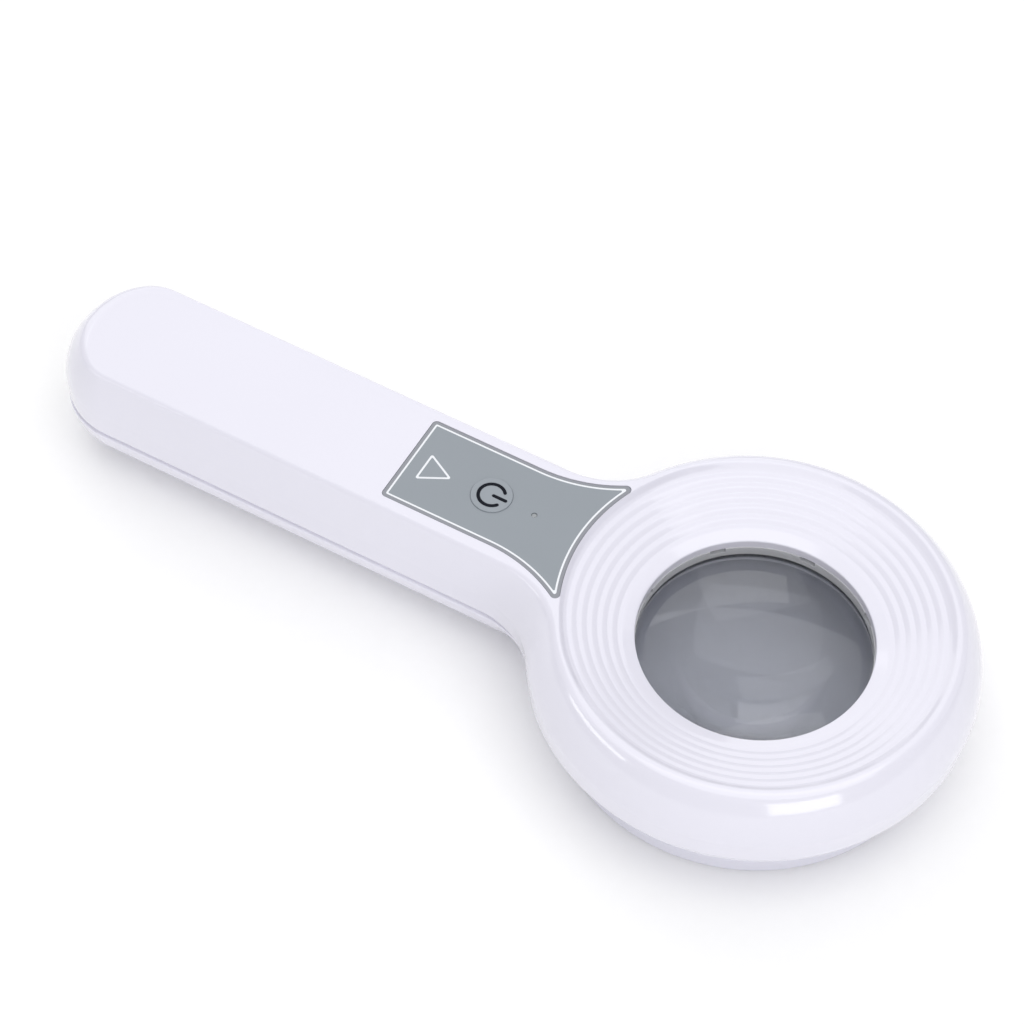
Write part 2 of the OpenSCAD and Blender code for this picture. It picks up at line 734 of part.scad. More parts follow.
module charging_socket() {
  color("black") difference() {
    union() {
      slab(-socket_front, -socket_front + socket_body[0], -socket_body[1] / 2, socket_body[1] / 2,
        socket_z - socket_body[2] / 2, socket_z + socket_body[2] / 2);
      translate([-socket_front - 2.6, 0, socket_z]) rotate([0, 90, 0])
        cylinder(r = socket_r, h = 4, $fn = 48);
    }
    translate([-socket_front - 3, 0, socket_z]) rotate([0, 90, 0])
      cylinder(r = socket_bore_r, h = 12, $fn = 48);
  }
}

module socket_pin() {
  color("gold") translate([-socket_front - 1.6, 0, socket_z]) rotate([0, 90, 0])
    cylinder(r = 1, h = 10.6, $fn = 32);
}

// ---- Housing screws ----

module housing_screws() {
  color("silver") for (x = handle_screw_x)
    screw(-x, 0, handle_seat_z, screw_r, handle_screw_l, screw_head_r, screw_head_h);
}

module head_screws() {
  color("silver") around(head_screw_angles, head_screw_ring_r)
    screw(0, 0, head_screw_seat, screw_r, head_screw_l, screw_head_r, screw_head_h);
}

upper_housing();
lower_housing();
base_ring();
lens();
lens_ring();
lens_gasket();
lens_retainer();
light_window();
lamp_board();
lamps();
lamp_resistors();
lamp_board_screws();
panel_sheet();
power_button();
switch_plunger();
switch_body();
indicator_pipe();
indicator_lamp();
main_board();
charge_chip();
driver_chip();
inductor();
board_capacitors();
board_screws();
lamp_plug();
battery_plug();
socket_plug();
battery_cell();
battery_sleeve();
battery_tabs();
battery_pads();
battery_leads();
lamp_leads();
socket_leads();
charging_socket();
socket_pin();
housing_screws();
head_screws();
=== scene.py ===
"""Hand-held lit magnifier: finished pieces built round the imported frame."""

import json
import math

import bmesh
import bpy
from bpy.props import FloatProperty, FloatVectorProperty, IntProperty, PointerProperty
from mathutils import Euler, Matrix, Vector


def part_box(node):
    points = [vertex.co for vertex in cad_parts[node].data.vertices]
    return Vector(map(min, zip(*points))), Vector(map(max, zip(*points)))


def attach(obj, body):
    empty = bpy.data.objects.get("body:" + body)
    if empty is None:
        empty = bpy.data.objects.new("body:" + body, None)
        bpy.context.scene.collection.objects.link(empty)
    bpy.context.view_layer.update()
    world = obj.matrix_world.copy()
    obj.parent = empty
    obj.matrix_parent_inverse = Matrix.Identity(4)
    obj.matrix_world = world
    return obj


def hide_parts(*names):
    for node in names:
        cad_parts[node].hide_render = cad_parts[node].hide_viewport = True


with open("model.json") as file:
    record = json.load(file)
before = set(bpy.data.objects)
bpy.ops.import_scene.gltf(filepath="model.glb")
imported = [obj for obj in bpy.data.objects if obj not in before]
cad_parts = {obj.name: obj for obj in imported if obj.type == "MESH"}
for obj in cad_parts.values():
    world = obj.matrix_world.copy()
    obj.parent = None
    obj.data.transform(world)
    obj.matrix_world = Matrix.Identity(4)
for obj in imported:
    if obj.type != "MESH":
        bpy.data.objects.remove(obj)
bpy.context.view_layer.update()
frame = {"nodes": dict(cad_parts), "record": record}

bl_info = {
    "name": "Lit hand magnifier",
    "version": (1, 0, 0),
    "blender": (4, 5, 0),
    "location": "3D View > Sidebar > Magnifier",
    "description": "Builds the finished pieces of a lit hand magnifier round its frame",
    "category": "Mesh",
}

MM = 0.001

UPPER_LO, UPPER_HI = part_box("upper_housing")
RING_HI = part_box("base_ring")[1]
LENS_LO, LENS_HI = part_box("lens")
CLEAR_LO, CLEAR_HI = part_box("lens_ring")
SHEET_LO, SHEET_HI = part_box("panel_sheet")
CAP_LO, CAP_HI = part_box("power_button")
PIPE_LO, PIPE_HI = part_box("indicator_pipe")
SOCKET_LO, SOCKET_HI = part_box("charging_socket")
CAP_R = (CAP_HI.y - CAP_LO.y) / 2


# ---- Sizes and colours that a user would change ----


def length(name, default, description):
    return FloatProperty(name=name, description=description, default=default,
                         unit="LENGTH", subtype="DISTANCE", precision=5)


def colour(name, default, description):
    return FloatVectorProperty(name=name, description=description, default=default,
                               size=3, min=0, max=1, subtype="COLOR")


class ShellSizes(bpy.types.PropertyGroup):
    """Sizes of the two housings and of the base ring."""

    widest_z: length("Widest level", 0.0233, "Height of the head's widest level")
    shoulder_r: length("Shoulder radius", 0.0237, "Radius of the head's rounded shoulder")
    belly_r: length("Belly radius", 0.0174, "Radius of the head's rounded belly")
    handle_l: length("Handle length", 0.19, "Lens axis to the centre of the round end")
    end_l: length("End length", 0.0209, "Length of the round end past its centre")
    side_r: length("Side radius", 0.0575, "Radius of the handle's bulging side")
    keel_r: length("Keel radius", 0.0184, "Radius of the handle's rounded underside")
    neck_r: length("Neck radius", 0.025, "Radius of the blend from handle to head")
    tuck: length("Seam tuck", 0.0009, "How far each housing turns in at the seam")
    seam_gap: length("Seam gap", 0.00045, "Height of the fine step on each side of the seam")
    wall: length("Wall", 0.0022, "Wall thickness of the housings")
    ring_edge: length("Ring edge", 0.0011, "Rounding of the base ring's edges")


class DishSizes(bpy.types.PropertyGroup):
    """Sizes of the dished rim and of the lens."""

    opening_r: length("Opening radius", 0.0315, "Radius of the lens opening")
    opening_z: length("Opening height", 0.031, "Height of the opening's edge")
    slope: FloatProperty(name="Dish slope", description="Rise of the dish for its run",
                         default=0.385, min=0.1, max=0.8)
    crest_r: length("Crest radius", 0.0522, "Radius at which the dish meets the crest")
    groove_r: length("First groove", 0.0361, "Radius of the first ring groove")
    groove_pitch: length("Groove pitch", 0.0027, "Spacing of the ring grooves")
    groove_count: IntProperty(name="Grooves", description="Number of ring grooves",
                              default=6, min=1, max=8)
    groove_depth: length("Groove depth", 0.00025, "Depth of a ring groove")


class PanelSizes(bpy.types.PropertyGroup):
    """Sizes of the control panel and its print."""

    half_width: length("Half-width", 0.0145, "Half of the panel's straight width")
    flare_x: length("Flare start", 0.072, "Lens axis to the start of the panel's flare")
    flare_r: length("Flare radius", 0.042, "Radius of the panel's flared sides")
    head_r: length("Head-end radius", 0.0517, "Radius of the panel's end at the head")
    corner_r: length("Corner radius", 0.0013, "Rounding of the panel's corners")
    border: length("Border", 0.00098, "Width of the dark border outside the keyline")
    keyline: length("Keyline", 0.00052, "Width of the pale keyline")


class FinishColours(bpy.types.PropertyGroup):
    """Colours of the visible finishes."""

    shell: colour("Shell", (0.80, 0.79, 0.885), "White plastic of the two housings")
    ring: colour("Ring", (0.755, 0.75, 0.845), "White plastic of the base ring")
    film: colour("Film", (0.27, 0.30, 0.335), "Grey film of the control panel")
    border: colour("Border", (0.265, 0.275, 0.31), "Edge of the film, outside its keyline")
    ink: colour("Pale ink", (0.86, 0.88, 0.92), "Ink of the keyline and the triangle")
    mark: colour("Dark ink", (0.005, 0.007, 0.013), "Ink of the power symbol")
    glass: colour("Glass", (0.80, 0.81, 0.85), "Tint of the lens")


def sizes(name):
    return getattr(bpy.context.scene, name)


# ---- Shader sockets in Python expressions ----


class Strand:
    """A shader socket that takes part in Python expressions through Math nodes."""

    def __init__(self, finish, socket):
        self.finish = finish
        self.socket = socket

    def maths(self, operation, first, second):
        return self.finish.node("ShaderNodeMath", {"operation": operation},
                                {0: first, 1: second})

    def __add__(self, other):
        return self.maths("ADD", self, other)

    __radd__ = __add__

    def __sub__(self, other):
        return self.maths("SUBTRACT", self, other)

    def __mul__(self, other):
        return self.maths("MULTIPLY", self, other)

    __rmul__ = __mul__


class Finish:
    """A material and the nodes that make it."""

    def __init__(self, name, **constants):
        self.material = bpy.data.materials.new(name)
        self.material.use_nodes = True
        self.tree = self.material.node_tree
        self.shader = self.tree.nodes["Principled BSDF"]
        for socket, value in constants.items():
            self.shader.inputs[socket.replace("_", " ")].default_value = value
        self.place = self.node("ShaderNodeTexCoord", out="Object")

    def node(self, kind, settings=None, sockets=None, out=0):
        """Adds a node, first its settings, then the values or links of its sockets."""
        made = self.tree.nodes.new(kind)
        for key, value in (settings or {}).items():
            setattr(made, key, value)
        for key, value in (sockets or {}).items():
            if isinstance(value, Strand):
                self.tree.links.new(value.socket, made.inputs[key])
            else:
                made.inputs[key].default_value = value
        return Strand(self, made.outputs[out])

    def feed(self, name, value):
        self.tree.links.new(value.socket, self.shader.inputs[name])

    def noise(self, scale, detail=2.0, roughness=0.5, where=None):
        return self.node("ShaderNodeTexNoise", None, {
            "Vector": where or self.place, "Scale": scale, "Detail": detail,
            "Roughness": roughness})

    def stretched(self, scale):
        return self.node("ShaderNodeMapping", None, {"Vector": self.place, "Scale": scale})

    def blend(self, factor, first, second):
        return self.node("ShaderNodeMix", {"data_type": "RGBA"}, {
            0: factor, 6: rgba(first), 7: rgba(second)}, 2)

    def relief(self, height, depth, strength=1.0):
        self.feed("Normal", self.node("ShaderNodeBump", None, {
            "Height": height, "Distance": depth, "Strength": strength}, "Normal"))


def rgba(shade):
    return (*shade, 1.0)


def scaled(shade, factor):
    return tuple(min(c * factor, 1.0) for c in shade)


def gloss_plastic(name, shade, roughness, grain):
    """Polished moulded plastic: a faint flow of tone, fine dust marks and a soft ripple."""
    made = Finish(name, IOR=1.5, Coat_Weight=0.5, Coat_Roughness=0.04)
    flow = made.noise(24, 3)
    dust = made.noise(900, 2, 0.7)
    ripple = made.noise(grain, 3, 0.55)
    made.feed("Base Color", made.blend(flow * 0.7 + dust * 0.3, scaled(shade, 0.975),
                                       scaled(shade, 1.02)))
    made.feed("Roughness", roughness + (flow - 0.5) * 0.05 + (dust - 0.5) * 0.05)
    made.relief(ripple * 0.6 + dust * 0.4, 0.00004, 0.25)
    return made.material


def satin_plastic(name, shade, roughness=0.5, grain=1400, depth=0.00008, ior=1.5):
    """Spark-eroded moulded plastic with an even fine grain."""
    made = Finish(name, IOR=ior)
    pits = made.noise(grain, 3, 0.6)
    flow = made.noise(40, 2)
    made.feed("Base Color", made.blend(flow * 0.5 + pits * 0.5, scaled(shade, 0.90),
                                       scaled(shade, 1.08)))
    made.feed("Roughness", roughness + (pits - 0.5) * 0.18)
    made.relief(pits, depth, 0.5)
    return made.material


def printed_film(name, shade, depth=0.00005):
    """Back-printed polycarbonate film: velvet grain, a little brighter where it is worn."""
    made = Finish(name, IOR=1.55, Coat_Weight=0.15, Coat_Roughness=0.25)
    velvet = made.noise(2600, 2, 0.65)
    flow = made.noise(55, 3)
    made.feed("Base Color", made.blend(flow * 0.6 + velvet * 0.4, scaled(shade, 0.95),
                                       scaled(shade, 1.05)))
    made.feed("Roughness", 0.42 + (velvet - 0.5) * 0.16 + (flow - 0.5) * 0.06)
    made.relief(velvet, depth, 0.35)
    return made.material


def clear_plastic(name, shade, roughness, ior, frost=0.0):
    """Clear or frosted moulding: the tint and the polish vary a little over it."""
    made = Finish(name, IOR=ior, Transmission_Weight=1.0 - frost)
    haze = made.noise(160, 3)
    fine = made.noise(1500, 2)
    made.feed("Base Color", made.blend(haze, scaled(shade, 0.97), scaled(shade, 1.02)))
    made.feed("Roughness", roughness + fine * roughness * 0.6)
    if frost:
        made.relief(fine, 0.00001, 0.2)
    return made.material


def brushed_metal(name, shade, roughness=0.32, along=(60, 2600, 2600)):
    """Drawn or turned metal with fine lines and a mottled plating."""
    made = Finish(name, Metallic=1.0)
    lines = made.noise(1.0, 4, 0.6, made.stretched(along))
    plating = made.noise(420, 3)
    made.feed("Base Color", made.blend(plating * 0.5 + lines * 0.5, scaled(shade, 0.82),
                                       scaled(shade, 1.12)))
    made.feed("Roughness", roughness + (lines - 0.5) * 0.22 + (plating - 0.5) * 0.1)
    made.relief(lines, 0.00003, 0.5)
    return made.material


def circuit_board(name, shade):
    """Solder mask over copper tracks, with a glass weave under it."""
    made = Finish(name, IOR=1.5, Coat_Weight=0.4, Coat_Roughness=0.15)
    tracks = made.node("ShaderNodeTexBrick", {"offset": 0.5}, {
        "Vector": made.place, "Scale": 260.0, "Mortar Size": 0.02, "Bias": 0.0,
        "Brick Width": 0.9, "Row Height": 0.28}, "Fac")
    weave = made.node("ShaderNodeTexWave", {"bands_direction": "DIAGONAL"}, {
        "Vector": made.place, "Scale": 420.0, "Distortion": 0.6})
    made.feed("Base Color", made.blend(tracks * 0.7 + weave * 0.15, scaled(shade, 0.8),
                                       scaled(shade, 1.7)))
    made.feed("Roughness", 0.34 + weave * 0.08)
    made.relief(tracks * 0.6 + weave * 0.2, 0.00005, 0.6)
    return made.material


def phosphor(name, shade):
    """Lamp chips: a yellow phosphor field on a white carrier."""
    made = Finish(name, IOR=1.5)
    crystals = made.noise(3200, 3, 0.7)
    made.feed("Base Color", made.blend(crystals, scaled(shade, 0.8), scaled(shade, 1.1)))
    made.feed("Roughness", 0.35 + crystals * 0.3)
    made.relief(crystals, 0.00005, 0.5)
    return made.material


def insulation(name, shade):
    """Extruded wire insulation with a faint die line and dusty patches."""
    made = Finish(name, IOR=1.5)
    dust = made.noise(500, 3, 0.6)
    draw = made.noise(1.0, 2, 0.5, made.stretched((120, 1500, 1500)))
    made.feed("Base Color", made.blend(dust * 0.6 + draw * 0.4, scaled(shade, 0.7),
                                       scaled(shade, 1.25)))
    made.feed("Roughness", 0.38 + dust * 0.2)
    made.relief(draw, 0.00004, 0.4)
    return made.material


# ---- Drawing with rings ----


def select_none():
    if bpy.context.object and bpy.context.object.mode != "OBJECT":
        bpy.ops.object.mode_set(mode="OBJECT")
    bpy.ops.object.select_all(action="DESELECT")


def make_active(piece):
    select_none()
    piece.select_set(True)
    bpy.context.view_layer.objects.active = piece


def draw_rings(name, rings, ends="join", paints=None):
    """Extrudes a circle from ring to ring; ends are joined to each other, filled or poles.

    Paints, where given, are the material indices of the bands between the rings.
    """
    select_none()
    bpy.ops.mesh.primitive_circle_add(vertices=len(rings[0]), radius=0.01, fill_type="NOTHING")
    piece = bpy.context.object
    piece.name = piece.data.name = name
    bpy.ops.object.mode_set(mode="EDIT")
    bpy.ops.mesh.select_mode(type="VERT")
    bpy.ops.mesh.select_all(action="SELECT")
    drawing = bmesh.from_edit_mesh(piece.data)
    station = drawing.verts.layers.int.new("station")
    for v in drawing.verts:
        v[station] = v.index
    for k, ring in enumerate(rings):
        if k:
            bpy.ops.mesh.extrude_edges_move()
        drawing = bmesh.from_edit_mesh(piece.data)
        station = drawing.verts.layers.int["station"]
        for v in drawing.verts:
            if v.select:
                v.co = ring[v[station]]
                if k and paints:
                    for face in v.link_faces:
                        face.material_index = paints[k - 1]
        bmesh.update_edit_mesh(piece.data, loop_triangles=False)
    if ends == "fill":
        bpy.ops.mesh.edge_face_add()
        bpy.ops.mesh.select_all(action="DESELECT")
        bpy.ops.mesh.select_non_manifold(extend=False, use_wire=False, use_boundary=True,
                                         use_multi_face=False, use_non_contiguous=False,
                                         use_verts=False)
        bpy.ops.mesh.edge_face_add()
    bpy.ops.mesh.select_all(action="SELECT")
    bpy.ops.mesh.remove_doubles(threshold=2e-7)
    bpy.ops.mesh.normals_make_consistent(inside=False)
    bpy.ops.object.mode_set(mode="OBJECT")
    piece.data.attributes.remove(piece.data.attributes["station"])
    return piece


def circle(r, z, angles, centre=(0, 0)):
    return [Vector((centre[0] + r * math.cos(a), centre[1] + r * math.sin(a), z))
            for a in angles]


def even(steps):
    return [math.tau * k / steps for k in range(steps)]


def turned(name, profile, steps=128, centre=(0, 0), ends="join"):
    """Turns a profile of (radius, height) points round an upright axis."""
    rings = [circle(r, z, even(steps), centre) for r, z in profile]
    if ends == "join":
        rings.append(rings[0])
    return draw_rings(name, rings, ends)


def arc(x, y, radius, start, stop, steps):
    """Points of an arc round (x, y), from one angle to another in degrees."""
    turns = [math.radians(start + (stop - start) * k / steps) for k in range(steps + 1)]
    return [(x + radius * math.cos(a), y + radius * math.sin(a)) for a in turns]


def combine(piece, tools, operation):
    """Cuts the tools out of the piece or joins them to it, one after another."""
    for tool in tools:
        make_active(piece)
        change = piece.modifiers.new("change", "BOOLEAN")
        change.operation = operation
        change.solver = "MANIFOLD"
        change.object = tool
        bpy.ops.object.modifier_apply(modifier=change.name)
        bpy.data.meshes.remove(tool.data)


def merge_slivers(piece, reach=0.02 * MM):
    """Merges points within reach, so that no sliver is left where two cuts share a plane."""
    make_active(piece)
    bpy.ops.object.mode_set(mode="EDIT")
    bpy.ops.mesh.select_all(action="SELECT")
    bpy.ops.mesh.remove_doubles(threshold=reach)
    bpy.ops.mesh.dissolve_degenerate(threshold=reach)
    bpy.ops.object.mode_set(mode="OBJECT")


def plug(profile, centre=(0, 0), steps=48):
    """Solid tool turned from a profile of (radius, height) points, closed at both ends."""
    return draw_rings("tool", [circle(r, z, even(steps), centre) for r, z in profile], "fill")


def rod(r, z0, z1, centre=(0, 0), steps=48):
    return plug([(r, z0), (r, z1)], centre, steps)


def soften(piece, angle=32):
    """Smooth shading that keeps crisp edges, weighted so that flat faces stay flat."""
    make_active(piece)
    bpy.ops.object.shade_smooth_by_angle(angle=math.radians(angle))
    weigh = piece.modifiers.new("weigh", "WEIGHTED_NORMAL")
    weigh.keep_sharp = True
    weigh.weight = 100
    bpy.ops.object.modifier_apply(modifier=weigh.name)


def settle(piece, body, nodes, materials):
    """Gives a piece its finish, its CAD body and the nodes that it stands for."""
    slots = piece.data.materials
    while len(slots) < len(materials):
        slots.append(None)
    for k, material in enumerate(materials):
        slots[k] = material
    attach(piece, body)
    if nodes:
        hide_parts(*nodes)


# ---- Shape of the housings ----

# Stations of half an outline
HEAD_STEPS = 96
NECK_STEPS = 16
SIDE_STEPS = 8
END_STEPS = 28
HALF_STEPS = HEAD_STEPS + NECK_STEPS + SIDE_STEPS + END_STEPS

# Share of the handle's half-width within which its stations meet the dish's circles
SIDE_SHARE = 0.8

# Steps up the keel and the belly, and across one band of the dish
KEEL_STEPS = 16
BELLY_STEPS = 12
BAND_STEPS = 12

# Power that rounds the bands between the dish's grooves
BAND_POWER = 0.75

# Plan and levels of the two housings
HEAD_R = UPPER_HI.x
HANDLE_W = 20.5 * MM
TOP_Z = UPPER_HI.z
SEAM_Z = UPPER_LO.z
RING_H = RING_HI.z
LOWER_STEP = 0.1 * MM
KEEL_END = math.radians(78)
KEEL_HEAD_R = 48 * MM
KEEL_NECK_R = 14 * MM
SEAT_R = 53.2 * MM
PILOT_R = 1.35 * MM
FLOOR_BORE_R = 44 * MM
FLOOR_TOP = RING_H + 2.2 * MM

# Turned-in lips at the seam, and the fine step next to it
UPPER_LIP_H = 2.3 * MM
LOWER_LIP_H = 1.3 * MM
SEAM_STEP = 0.55 * MM

# Rounding of the crest, as (width, height): on the head, the handle's sides and its end
CREST_ROUNDING = ((0.6 * MM, 1.2 * MM), (1.2 * MM, 1.31 * MM), (2.1 * MM, 1.5 * MM))

# Levels of the upper housing's rings: above the seam, up the shoulder, below the top, inside
ABOVE_SEAM = (0, 0.15, 0.3, 0.45, 0.6, 0.8, 1.1, 1.5, 1.9)
SHOULDER_ANGLES = (2.5, 5, 8, 11, 14, 17, 20, 23, 26, 29, 32, 35, 37.5)
BELOW_TOP = (1.31, 1.05, 0.82, 0.62, 0.45, 0.33, 0.24, 0.16, 0.1, 0.05, 0.015, 0)
INNER_LEVELS = (34 * MM, 30 * MM, 26 * MM)

# Levels of the lower housing's rings below the seam
BELOW_SEAM = (1.1, 0.9, 0.7, 0.55, 0.45, 0.3, 0.15, 0)

# The head's crest is lower away from the handle, and draws in beside the panel; angles are
# in degrees from the side away from the handle
SETTLE_START = 38.4 * MM
SETTLE_SHARE = 0.45
SETTLE_ANGLE, SETTLE_SPAN = 142, 24
DRAW_IN = 0.4 * MM
DRAW_ANGLE, DRAW_SPAN = 138, 11
CREST_SPREAD = 0.65 * MM
CREST_STEPS = 8


def sag(r, dz):
    """Inward bulge of an arc of radius r at height dz from its widest level."""
    return r - math.sqrt(max(r * r - dz * dz, 0))


def smooth(t):
    """Smooth step from 0 to 1 for t from 0 to 1, level at both ends."""
    t = min(max(t, 0), 1)
    return t * t * (3 - 2 * t)


def rounded(step, width, height):
    """Inset of a rounded edge, at a share of its height from 0 to 1."""
    share = min(max(step / height, 0), 1)
    return width * (1 - math.sqrt(1 - share * share))


def neck_turn(head, breadth, neck):
    cy = breadth + neck
    cx = -math.sqrt((head + neck) ** 2 - cy * cy)
    return cx, cy, math.atan2(cy, cx)


def outline(z, head, breadth, neck, end):
    """Plan outline: head circle, neck blends, straight sides and round end."""
    cx, cy, turn = neck_turn(head, breadth, neck)
    handle = -sizes("shell_sizes").handle_l
    half = arc(0, 0, head, 0, math.degrees(turn), HEAD_STEPS)
    half += arc(cx, cy, neck, math.degrees(turn) + 180, 270, NECK_STEPS)[1:]
    half += [(cx + (handle - cx) * k / SIDE_STEPS, breadth)
             for k in range(1, SIDE_STEPS + 1)]
    for k in range(1, END_STEPS + 1):
        a = math.pi / 2 * (1 + k / END_STEPS)
        half.append((handle + end * math.cos(a), breadth * math.sin(a)))
    half[-1] = (handle - end, 0)
    both = half + [(x, -y) for x, y in half[-2:0:-1]]
    return [Vector((x, y, z)) for x, y in both]


def station_angles(turn, inside):
    """Angles of the outline's stations on a circle, inside being the handle's half-width."""
    root = math.pi - math.asin(SIDE_SHARE * inside / sizes("dish_sizes").crest_r)
    rest = HALF_STEPS - HEAD_STEPS - NECK_STEPS
    half = [turn * k / HEAD_STEPS for k in range(HEAD_STEPS + 1)]
    half += [turn + (root - turn) * k / NECK_STEPS for k in range(1, NECK_STEPS + 1)]
    half += [root + (math.pi - root) * k / rest for k in range(1, rest + 1)]
    return half + [-a for a in half[-2:0:-1]]


def drawn_in(ring, depth):
    """The ring drawn in by depth within its own plane."""
    count = len(ring)
    moved = []
    for k, here in enumerate(ring):
        along = (ring[(k + 1) % count] - ring[k - 1]).normalized()
        moved.append(here + Vector((-along.y, along.x, 0)) * depth)
    return moved


def shell_ring(z, inset=0.0, upper=True):
    """Outline of a housing at height z, or of its inner wall when inset is given."""
    s = sizes("shell_sizes")
    if upper:
        bulge = sag(s.shoulder_r, z - s.widest_z)
        side = sag(s.side_r, z - s.widest_z)
        end = s.end_l
        lip = rounded(UPPER_LIP_H - (z - SEAM_Z), s.tuck, UPPER_LIP_H)
    else:
        bulge = sag(s.belly_r, s.widest_z - z)
        side = LOWER_STEP + keel_sag(z)
        end = s.end_l - LOWER_STEP - keel_sag(z)
        lip = rounded(LOWER_LIP_H - (SEAM_Z - z), s.tuck, LOWER_LIP_H)
    lip += SEAM_STEP * max(1 - abs(z - SEAM_Z) / s.seam_gap, 0)
    if inset:
        lip = inset
    end_inset = lip + (bulge if upper else 0)
    crest = [0.0, 0.0, 0.0]
    if upper and not inset:
        crest = [rounded(z - TOP_Z + h, w, h) for w, h in CREST_ROUNDING]
    return outline(z, HEAD_R - bulge - lip - crest[0], HANDLE_W - side - lip - crest[1],
                   s.neck_r + inset, end - end_inset - crest[2])


def keel_sag(z):
    keel = sizes("shell_sizes").keel_r
    return sag(keel, (keel - z) * math.sin(KEEL_END)) if z < keel else 0.0


def keel_ring(a, inset=0.0):
    s = sizes("shell_sizes")
    inner = s.keel_r - inset
    return outline(s.keel_r - inner * math.sin(a) / math.sin(KEEL_END), KEEL_HEAD_R - inset,
                   HANDLE_W - LOWER_STEP - s.keel_r + inner * math.cos(a),
                   KEEL_NECK_R + inset, s.end_l - LOWER_STEP - s.keel_r + inner * math.cos(a))


def dish_z(r):
    d = sizes("dish_sizes")
    return d.opening_z + d.slope * (r - d.opening_r)


def dish_surface(r):
    """Height of the dish at radius r, with its pillowed bands and ring grooves."""
    d = sizes("dish_sizes")
    turn = (r - d.groove_r) / d.groove_pitch
    if not -0.5 < turn < d.groove_count - 0.5:
        return dish_z(r)
    off = abs(turn - round(turn)) * 2
    return dish_z(r) - d.groove_depth * (1 - off ** BAND_POWER)


def crest_rings(angles):
    """The crest and the step down into the dish, which draws in beside the panel."""
    d = sizes("dish_sizes")
    foot = d.groove_r + (d.groove_count - 0.5) * d.groove_pitch - CREST_SPREAD
    rings = []
    for k in range(CREST_STEPS + 1):
        t = k / CREST_STEPS
        ring = []
        for a in angles:
            near = smooth((abs(math.degrees(a)) - DRAW_ANGLE) / DRAW_SPAN)
            crest = d.crest_r - DRAW_IN * near
            r = crest - t * (crest - foot)
            z = (TOP_Z + (dish_surface(foot) - TOP_Z) * smooth(t)
                 + (t ** 3 - t * t) * -d.slope * (crest - foot))
            ring.append(Vector((r * math.cos(a), r * math.sin(a), z)))
        rings.append(ring)
    return rings, foot


def settled(ring):
    """The ring with the head's crest lowered, full height being kept beside the handle."""
    moved = []
    for v in ring:
        away = smooth((SETTLE_ANGLE - abs(heading(v.x, v.y))) / SETTLE_SPAN)
        drop = max(v.z - SETTLE_START, 0) * SETTLE_SHARE * away
        moved.append(Vector((v.x, v.y, v.z - drop)))
    return moved


def heading(x, y):
    """Direction of (x, y) from the origin, in degrees."""
    return math.degrees(math.atan2(y, x))


def panel_outline(inset, corner, z, steps=14):
    """Outline of the control panel, drawn in by inset, with its corners rounded."""
    p = sizes("panel_sizes")
    end_x = SHEET_LO.x + inset
    half_w = p.half_width - inset
    flare = p.flare_r + inset
    head = p.head_r + inset
    fx, fy = -p.flare_x, p.half_width + p.flare_r
    # The tip's rounding touches the flare and the head-end arc
    reach = math.hypot(fx, fy)
    ra, rb = head + corner, flare + corner
    along = (ra * ra - rb * rb + reach * reach) / (2 * reach)
    across = math.sqrt(ra * ra - along * along)
    ux, uy = fx / reach, fy / reach
    tips = [(along * ux + s * across * uy, along * uy - s * across * ux) for s in (1, -1)]
    tx, ty = min(tips, key=lambda t: abs(t[1]))
    half = [(end_x, 0.0), (end_x, half_w * 0.5)]
    half += arc(end_x + corner, half_w - corner, corner, 180, 90, steps)
    half += [(end_x + (fx - end_x) * k / 6, half_w) for k in range(1, 6)]
    half += arc(fx, fy, flare, -90, heading(tx - fx, ty - fy), 2 * steps)
    half += arc(tx, ty, corner, heading(fx - tx, fy - ty), heading(-tx, -ty), steps)[1:-1]
    half += arc(0, 0, head, heading(tx, ty), 180, 2 * steps)
    half[-1] = (-head, 0.0)
    both = half + [(x, -y) for x, y in half[-2:0:-1]]
    return [Vector((x, y, z)) for x, y in both]


class PieceOperator(bpy.types.Operator):
    """Base of the operators that build the magnifier's pieces."""

    bl_options = {"REGISTER", "UNDO"}


